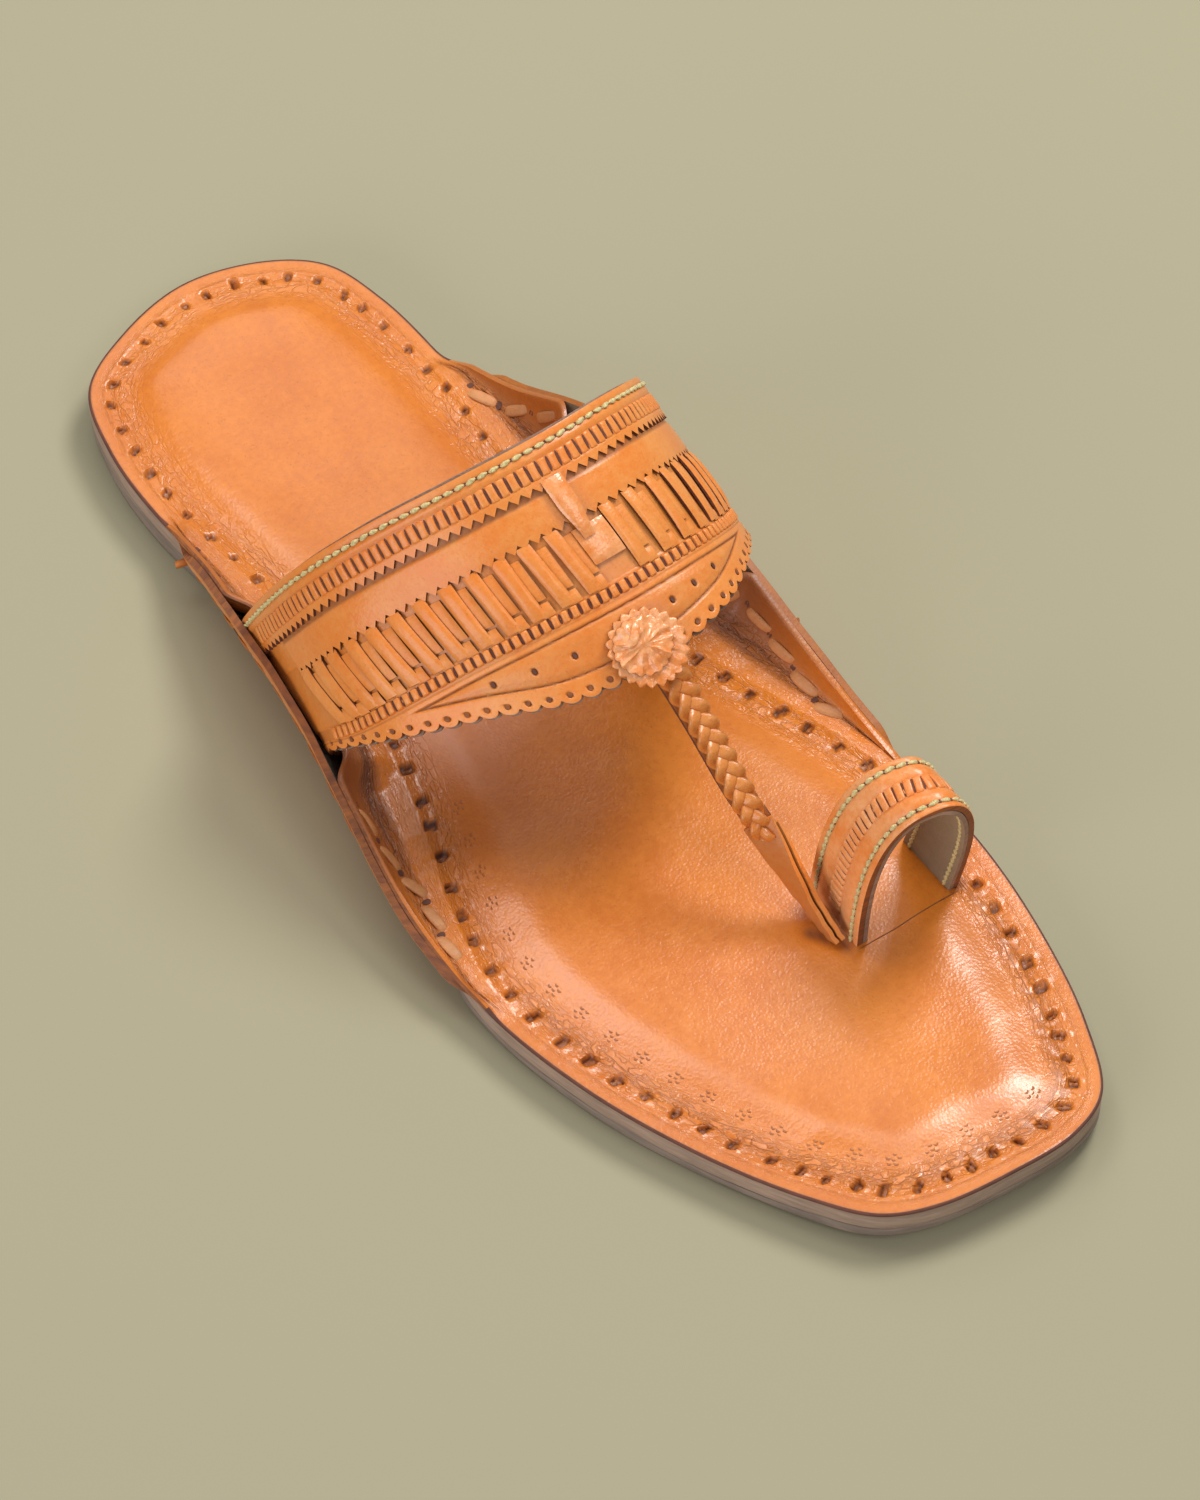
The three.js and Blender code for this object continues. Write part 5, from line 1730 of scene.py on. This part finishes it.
class SANDAL_OT_instep_band(bpy.types.Operator):
    """Scalloped instep band, its lining, pinked strips, ribs, woven ladder and keeper"""
    bl_idname = "sandal.instep_band"
    bl_label = "Instep Band"

    def execute(self, context):
        settle(build_band_base(), "strap_leather", "upper")
        settle(build_band_lining(), "lining_leather")
        rear = pinked_strip("rear_strip", 1.0, STRIP_FRONT, 0.02, 0.98, 1.0, REAR_STRIP_THICK,
                            rear_strip_relief)
        settle(rear, "strap_leather")
        cut = band_t_at(17.0, [-76])[0]
        plain = pinked_strip("plain_strip", PLAIN_BACK - 1, PLAIN_FRONT, cut, 0.98, 0.5,
                             PLAIN_STRIP_THICK, plain_strip_relief)
        settle(plain, "strap_leather")
        t = band_span(RIB_ROW, RIB_PITCH, BAND_LOW_T, BAND_HIGH_T)
        settle(band_pads("rear_ribs", pad_shape(), "strap", RIB_ROW, t, (1.55, RIB_LENGTH, 0.42), 0.76),
               "strap_leather")
        # Dark dots between the ribs: painted shade in the grooves.
        settle(band_pads("rear_rib_slits", dimple_shape(), "burnished", RIB_ROW, halfway(t),
                         (0.52, 2.85, 0.5), 0.9, wander=0.08, uneven=0.2), "strap_leather")
        slats, panels = build_ladder()
        settle(slat_piece("ladder_thongs", slats, "strap"), "strap_leather")
        settle(slat_piece("ladder_panels", panels, "panel"), "strap_leather")
        t = band_span(35.0, BAR_PITCH, band_t_at(35.0, [-72])[0], band_t_at(35.0, [68])[0])
        settle(band_pads("small_bars", pad_shape(), "strap", BAR_ROW, t, (1.4, 2.4, 0.75), -0.38),
               "strap_leather")
        # Dark dots between the bars: painted shade in the grooves.
        settle(band_pads("small_bar_slits", dimple_shape(), "burnished", BAR_ROW, halfway(t),
                         (0.6, 1.9, 0.5), -0.16, wander=0.1, uneven=0.2), "strap_leather")
        settle(slat_piece("keeper_and_patch", build_keeper(), "glossy"), "strap_leather")
        arc = run_length(BAND_FRONT_RAIL(BAND_T))
        lobes = (np.arange(int(arc[-1] / SCALLOP_PITCH)) + 0.5) * SCALLOP_PITCH
        t = np.interp(lobes, arc, BAND_T)
        t = t[(t > BAND_LOW_T) & (t < BAND_HIGH_T) & (np.abs(t - ROSETTE_T) > 0.03)]
        # Dots in the scallop holes: painted shade.
        settle(band_pads("scallop_holes", dimple_shape(), "rim_edge", band_width(t) - SCALLOP_HOLE, t,
                         (0.8, 0.95, 0.5), -0.04, wander=0.3, uneven=0.2), "strap_leather")
        t, b = leaf_hole_places()
        # Dark dots in the leaf's holes: painted shade.
        settle(band_pads("leaf_holes", dimple_shape(), "burnished", b, t, (0.62, 1.0, 0.5), 0.22,
                         wander=0.3, uneven=0.15), "strap_leather")
        return {"FINISHED"}


class SANDAL_OT_thong(bpy.types.Operator):
    """Plaited thong on its backing and the folded strap below it"""
    bl_idname = "sandal.thong"
    bl_label = "Braided Thong"

    def execute(self, context):
        settle(build_braid(), "strap_leather")
        # The backing and the folded strap are painted darker as shade: the backing under the braid, the
        # strap's faces turned on edge.
        settle(thong_strip("braid_backing", (0.02, 0.62), -0.3, 1.1, 0.74, ["strap", "burnished", "suede"],
                           stain_and_shade=0.55), "strap_leather")
        folded = ["strap", "strap", "burnished"]
        settle(thong_strip("folded_strap_outer", (0.50, 1.0), 0.9, 1.0, 0.86, folded, 0.08, 0.35),
               "strap_leather")
        settle(thong_strip("folded_strap_inner", (0.52, 1.0), -0.5, 1.0, 0.95, folded, 0.06, 0.35),
               "strap_leather")
        return {"FINISHED"}


class SANDAL_OT_toe_loop(bpy.types.Operator):
    """Toe loop strap, its lining and pressed bars"""
    bl_idname = "sandal.toe_loop"
    bl_label = "Toe Loop"

    def execute(self, context):
        face, lining = build_toe_loop()
        settle(face, "strap_leather", "toe_loop")
        settle(lining, "lining_leather")
        # The slits between the bars are dark dots: painted shade in the grooves.
        for name, shape, finish, first, height, size in (
                ("toe_loop_bars", pad_shape(), "loop", 7.0, -0.32, (1.5, 3.5, 0.52)),
                ("toe_loop_slits", dimple_shape(), "burnished", 8.05, -0.08, (0.56, 2.7, 0.5))):
            angle = loop_angle_at(np.arange(first, LOOP_ARC[-1] - 6.0, 2.1))
            row = repeat(name, shape, finish, loop_frame(angle, 0.5, height), size, 0.1, 0.15)
            settle(row, "strap_leather")
        return {"FINISHED"}


class SANDAL_OT_rosette(bpy.types.Operator):
    """Toothed leather flower over the joint of band and thong"""
    bl_idname = "sandal.rosette"
    bl_label = "Rosette"

    def execute(self, context):
        lower, heart, knot = build_rosette()
        settle(lower, "strap_leather", "rosette")
        settle(heart, "strap_leather")
        settle(knot, "strap_leather")
        return {"FINISHED"}


class SANDAL_OT_sewing(bpy.types.Operator):
    """Sewn stitch rows of waxed thread on the band and the toe loop"""
    bl_idname = "sandal.sewing"
    bl_label = "Sewing"

    def execute(self, context):
        sizes = context.scene.sandal_sizes
        length, thick = sizes.stitch_length / MM, sizes.thread_thickness / MM
        size = (length * 0.86, thick, thick)
        t = band_span(SEAM_ROW, length, 0.06, 0.94)
        settle(band_pads("band_stitches", stitch_shape(), "thread", SEAM_ROW, t, size, 1.15,
                         wander=0.16, uneven=0.08), "thread")
        # Dark dots between the stitches: painted shade in the stitch holes.
        settle(band_pads("band_stitch_holes", dimple_shape(), "burnished", SEAM_ROW, halfway(t),
                         (0.62, 0.7, 0.6), 0.84, uneven=0.2), "strap_leather")
        angle = loop_angle_at(np.arange(3.0, LOOP_ARC[-1] - 2.0, length))
        rows = joined([loop_frame(angle, seam / LOOP_WIDTH, 0.05, inside)
                       for seam in (LOOP_SEAM, LOOP_WIDTH - LOOP_SEAM) for inside in (False, True)])
        settle(repeat("toe_loop_stitches", stitch_shape(), "thread", rows, size, wander=0.14, uneven=0.08),
               "thread")
        place, along, forward, out = rows
        # Dark dots between the stitches: painted shade in the stitch holes.
        between = place + along * length / 2 - out * 0.22
        settle(repeat("toe_loop_stitch_holes", dimple_shape(), "burnished", (between, along, forward, out),
                      (0.6, 0.65, 0.6), uneven=0.2), "strap_leather")
        return {"FINISHED"}


FLOOR_REACH, FLOOR_DROP = 4, 2e-4
VIEW_TARGET = (0.0, -0.0139, 0.020)
VIEW_FROM = (-0.3231, -0.4358, 0.8401)

# Soft round lights: place, size, share of the key power and colour.
LAMPS = {
    "key_light": ((0.78, 0.20, 1.26), 0.54, 1.0, (1.0, 0.98, 0.95)),
    "overhead_light": ((-0.14, 0.53, 1.39), 0.52, 0.26, (1.0, 0.99, 0.97)),
    "toe_light": ((0.26, 0.12, 1.46), 0.5, 0.15, (1.0, 0.99, 0.97)),
    "back_light": ((0.44, 0.98, 1.05), 0.7, 0.15, (1.0, 0.98, 0.95)),
    "front_light": ((0.15, -0.83, 1.25), 0.5, 0.18, (1.0, 0.98, 0.95)),
    "side_light": ((-1.36, -0.34, 0.47), 1.2, 0.76, (1.0, 0.97, 0.97)),
}


class SANDAL_OT_stage(bpy.types.Operator):
    """Floor, soft lights and camera"""
    bl_idname = "sandal.stage"
    bl_label = "Stage"

    def execute(self, context):
        stage = context.scene.sandal_stage
        g = Graph("studio_floor")
        tone = g.noise(3, 3)
        colour = g.blend(tone * 0.25, rgba(stage.floor), rgba(stage.floor, 0.94))
        finish = g.finish(colour, 0.9 + 0.04 * (tone - 0.5), specular=0.2)
        mesh = bpy.data.meshes.new("floor")
        corners = [(x * FLOOR_REACH, y * FLOOR_REACH, -FLOOR_DROP)
                   for x, y in ((-1, -1), (1, -1), (1, 1), (-1, 1))]
        mesh.from_pydata(corners, [], [(0, 1, 2, 3)])
        mesh.materials.append(finish)
        floor = add_object("floor", mesh)
        for name, (place, size, share, colour) in LAMPS.items():
            self.lamp(name, place, size, stage.key_power * share, colour)
        world = bpy.data.worlds.new("surround")
        world.use_nodes = True
        background = world.node_tree.nodes["Background"].inputs
        background["Color"].default_value = (0.93, 0.96, 1.0, 1.0)
        background["Strength"].default_value = stage.fill
        context.scene.world = world
        self.camera(context, stage)
        context.scene.view_settings.view_transform = "Standard"
        return {"FINISHED"}

    def lamp(self, name, place, size, power, colour):
        data = bpy.data.lights.new(name, "AREA")
        data.shape, data.size, data.energy, data.color = "DISK", size, power, colour
        lamp = add_object(name, data)
        lamp.location = place
        lamp.rotation_euler = (-Vector(place)).to_track_quat("-Z", "Y").to_euler()

    def camera(self, context, stage):
        data = bpy.data.cameras.new("camera")
        data.lens, data.sensor_width = stage.lens, 36.0
        camera = add_object("camera", data)
        back = Vector(VIEW_FROM).normalized()
        camera.location = Vector(VIEW_TARGET) + back * stage.distance
        camera.rotation_euler = (-back).to_track_quat("-Z", "Y").to_euler()
        context.scene.camera = camera


OPERATORS = (
    SANDAL_OT_stage, SANDAL_OT_sole_layers, SANDAL_OT_footbed, SANDAL_OT_ears, SANDAL_OT_instep_band,
    SANDAL_OT_thong, SANDAL_OT_toe_loop, SANDAL_OT_rosette, SANDAL_OT_sewing,
)


class SANDAL_PT_panel(bpy.types.Panel):
    """Lists the sandal's sizes, colours and pieces"""
    bl_label = "Kolhapuri Sandal"
    bl_idname = "SANDAL_PT_panel"
    bl_space_type = "VIEW_3D"
    bl_region_type = "UI"
    bl_category = "Sandal"

    def draw(self, context):
        for group in (context.scene.sandal_finish, context.scene.sandal_sizes, context.scene.sandal_stage):
            box = self.layout.box()
            for label in group.bl_rna.properties.keys():
                if label not in {"rna_type", "name"}:
                    box.prop(group, label)
        for operator in OPERATORS:
            self.layout.operator(operator.bl_idname)


CLASSES = (SandalFinishSettings, SandalSizeSettings, SandalStageSettings, *OPERATORS, SANDAL_PT_panel)


def register():
    for cls in CLASSES:
        bpy.utils.register_class(cls)
    bpy.types.Scene.sandal_finish = bpy.props.PointerProperty(type=SandalFinishSettings)
    bpy.types.Scene.sandal_sizes = bpy.props.PointerProperty(type=SandalSizeSettings)
    bpy.types.Scene.sandal_stage = bpy.props.PointerProperty(type=SandalStageSettings)


def unregister():
    del bpy.types.Scene.sandal_finish, bpy.types.Scene.sandal_sizes, bpy.types.Scene.sandal_stage
    for cls in reversed(CLASSES):
        bpy.utils.unregister_class(cls)


def main():
    register()
    for operator in OPERATORS:
        group, name = operator.bl_idname.split(".")
        getattr(getattr(bpy.ops, group), name)()
    for shape in TEMPLATES:
        bpy.data.objects.remove(shape)


if __name__ == "__main__":
    main()
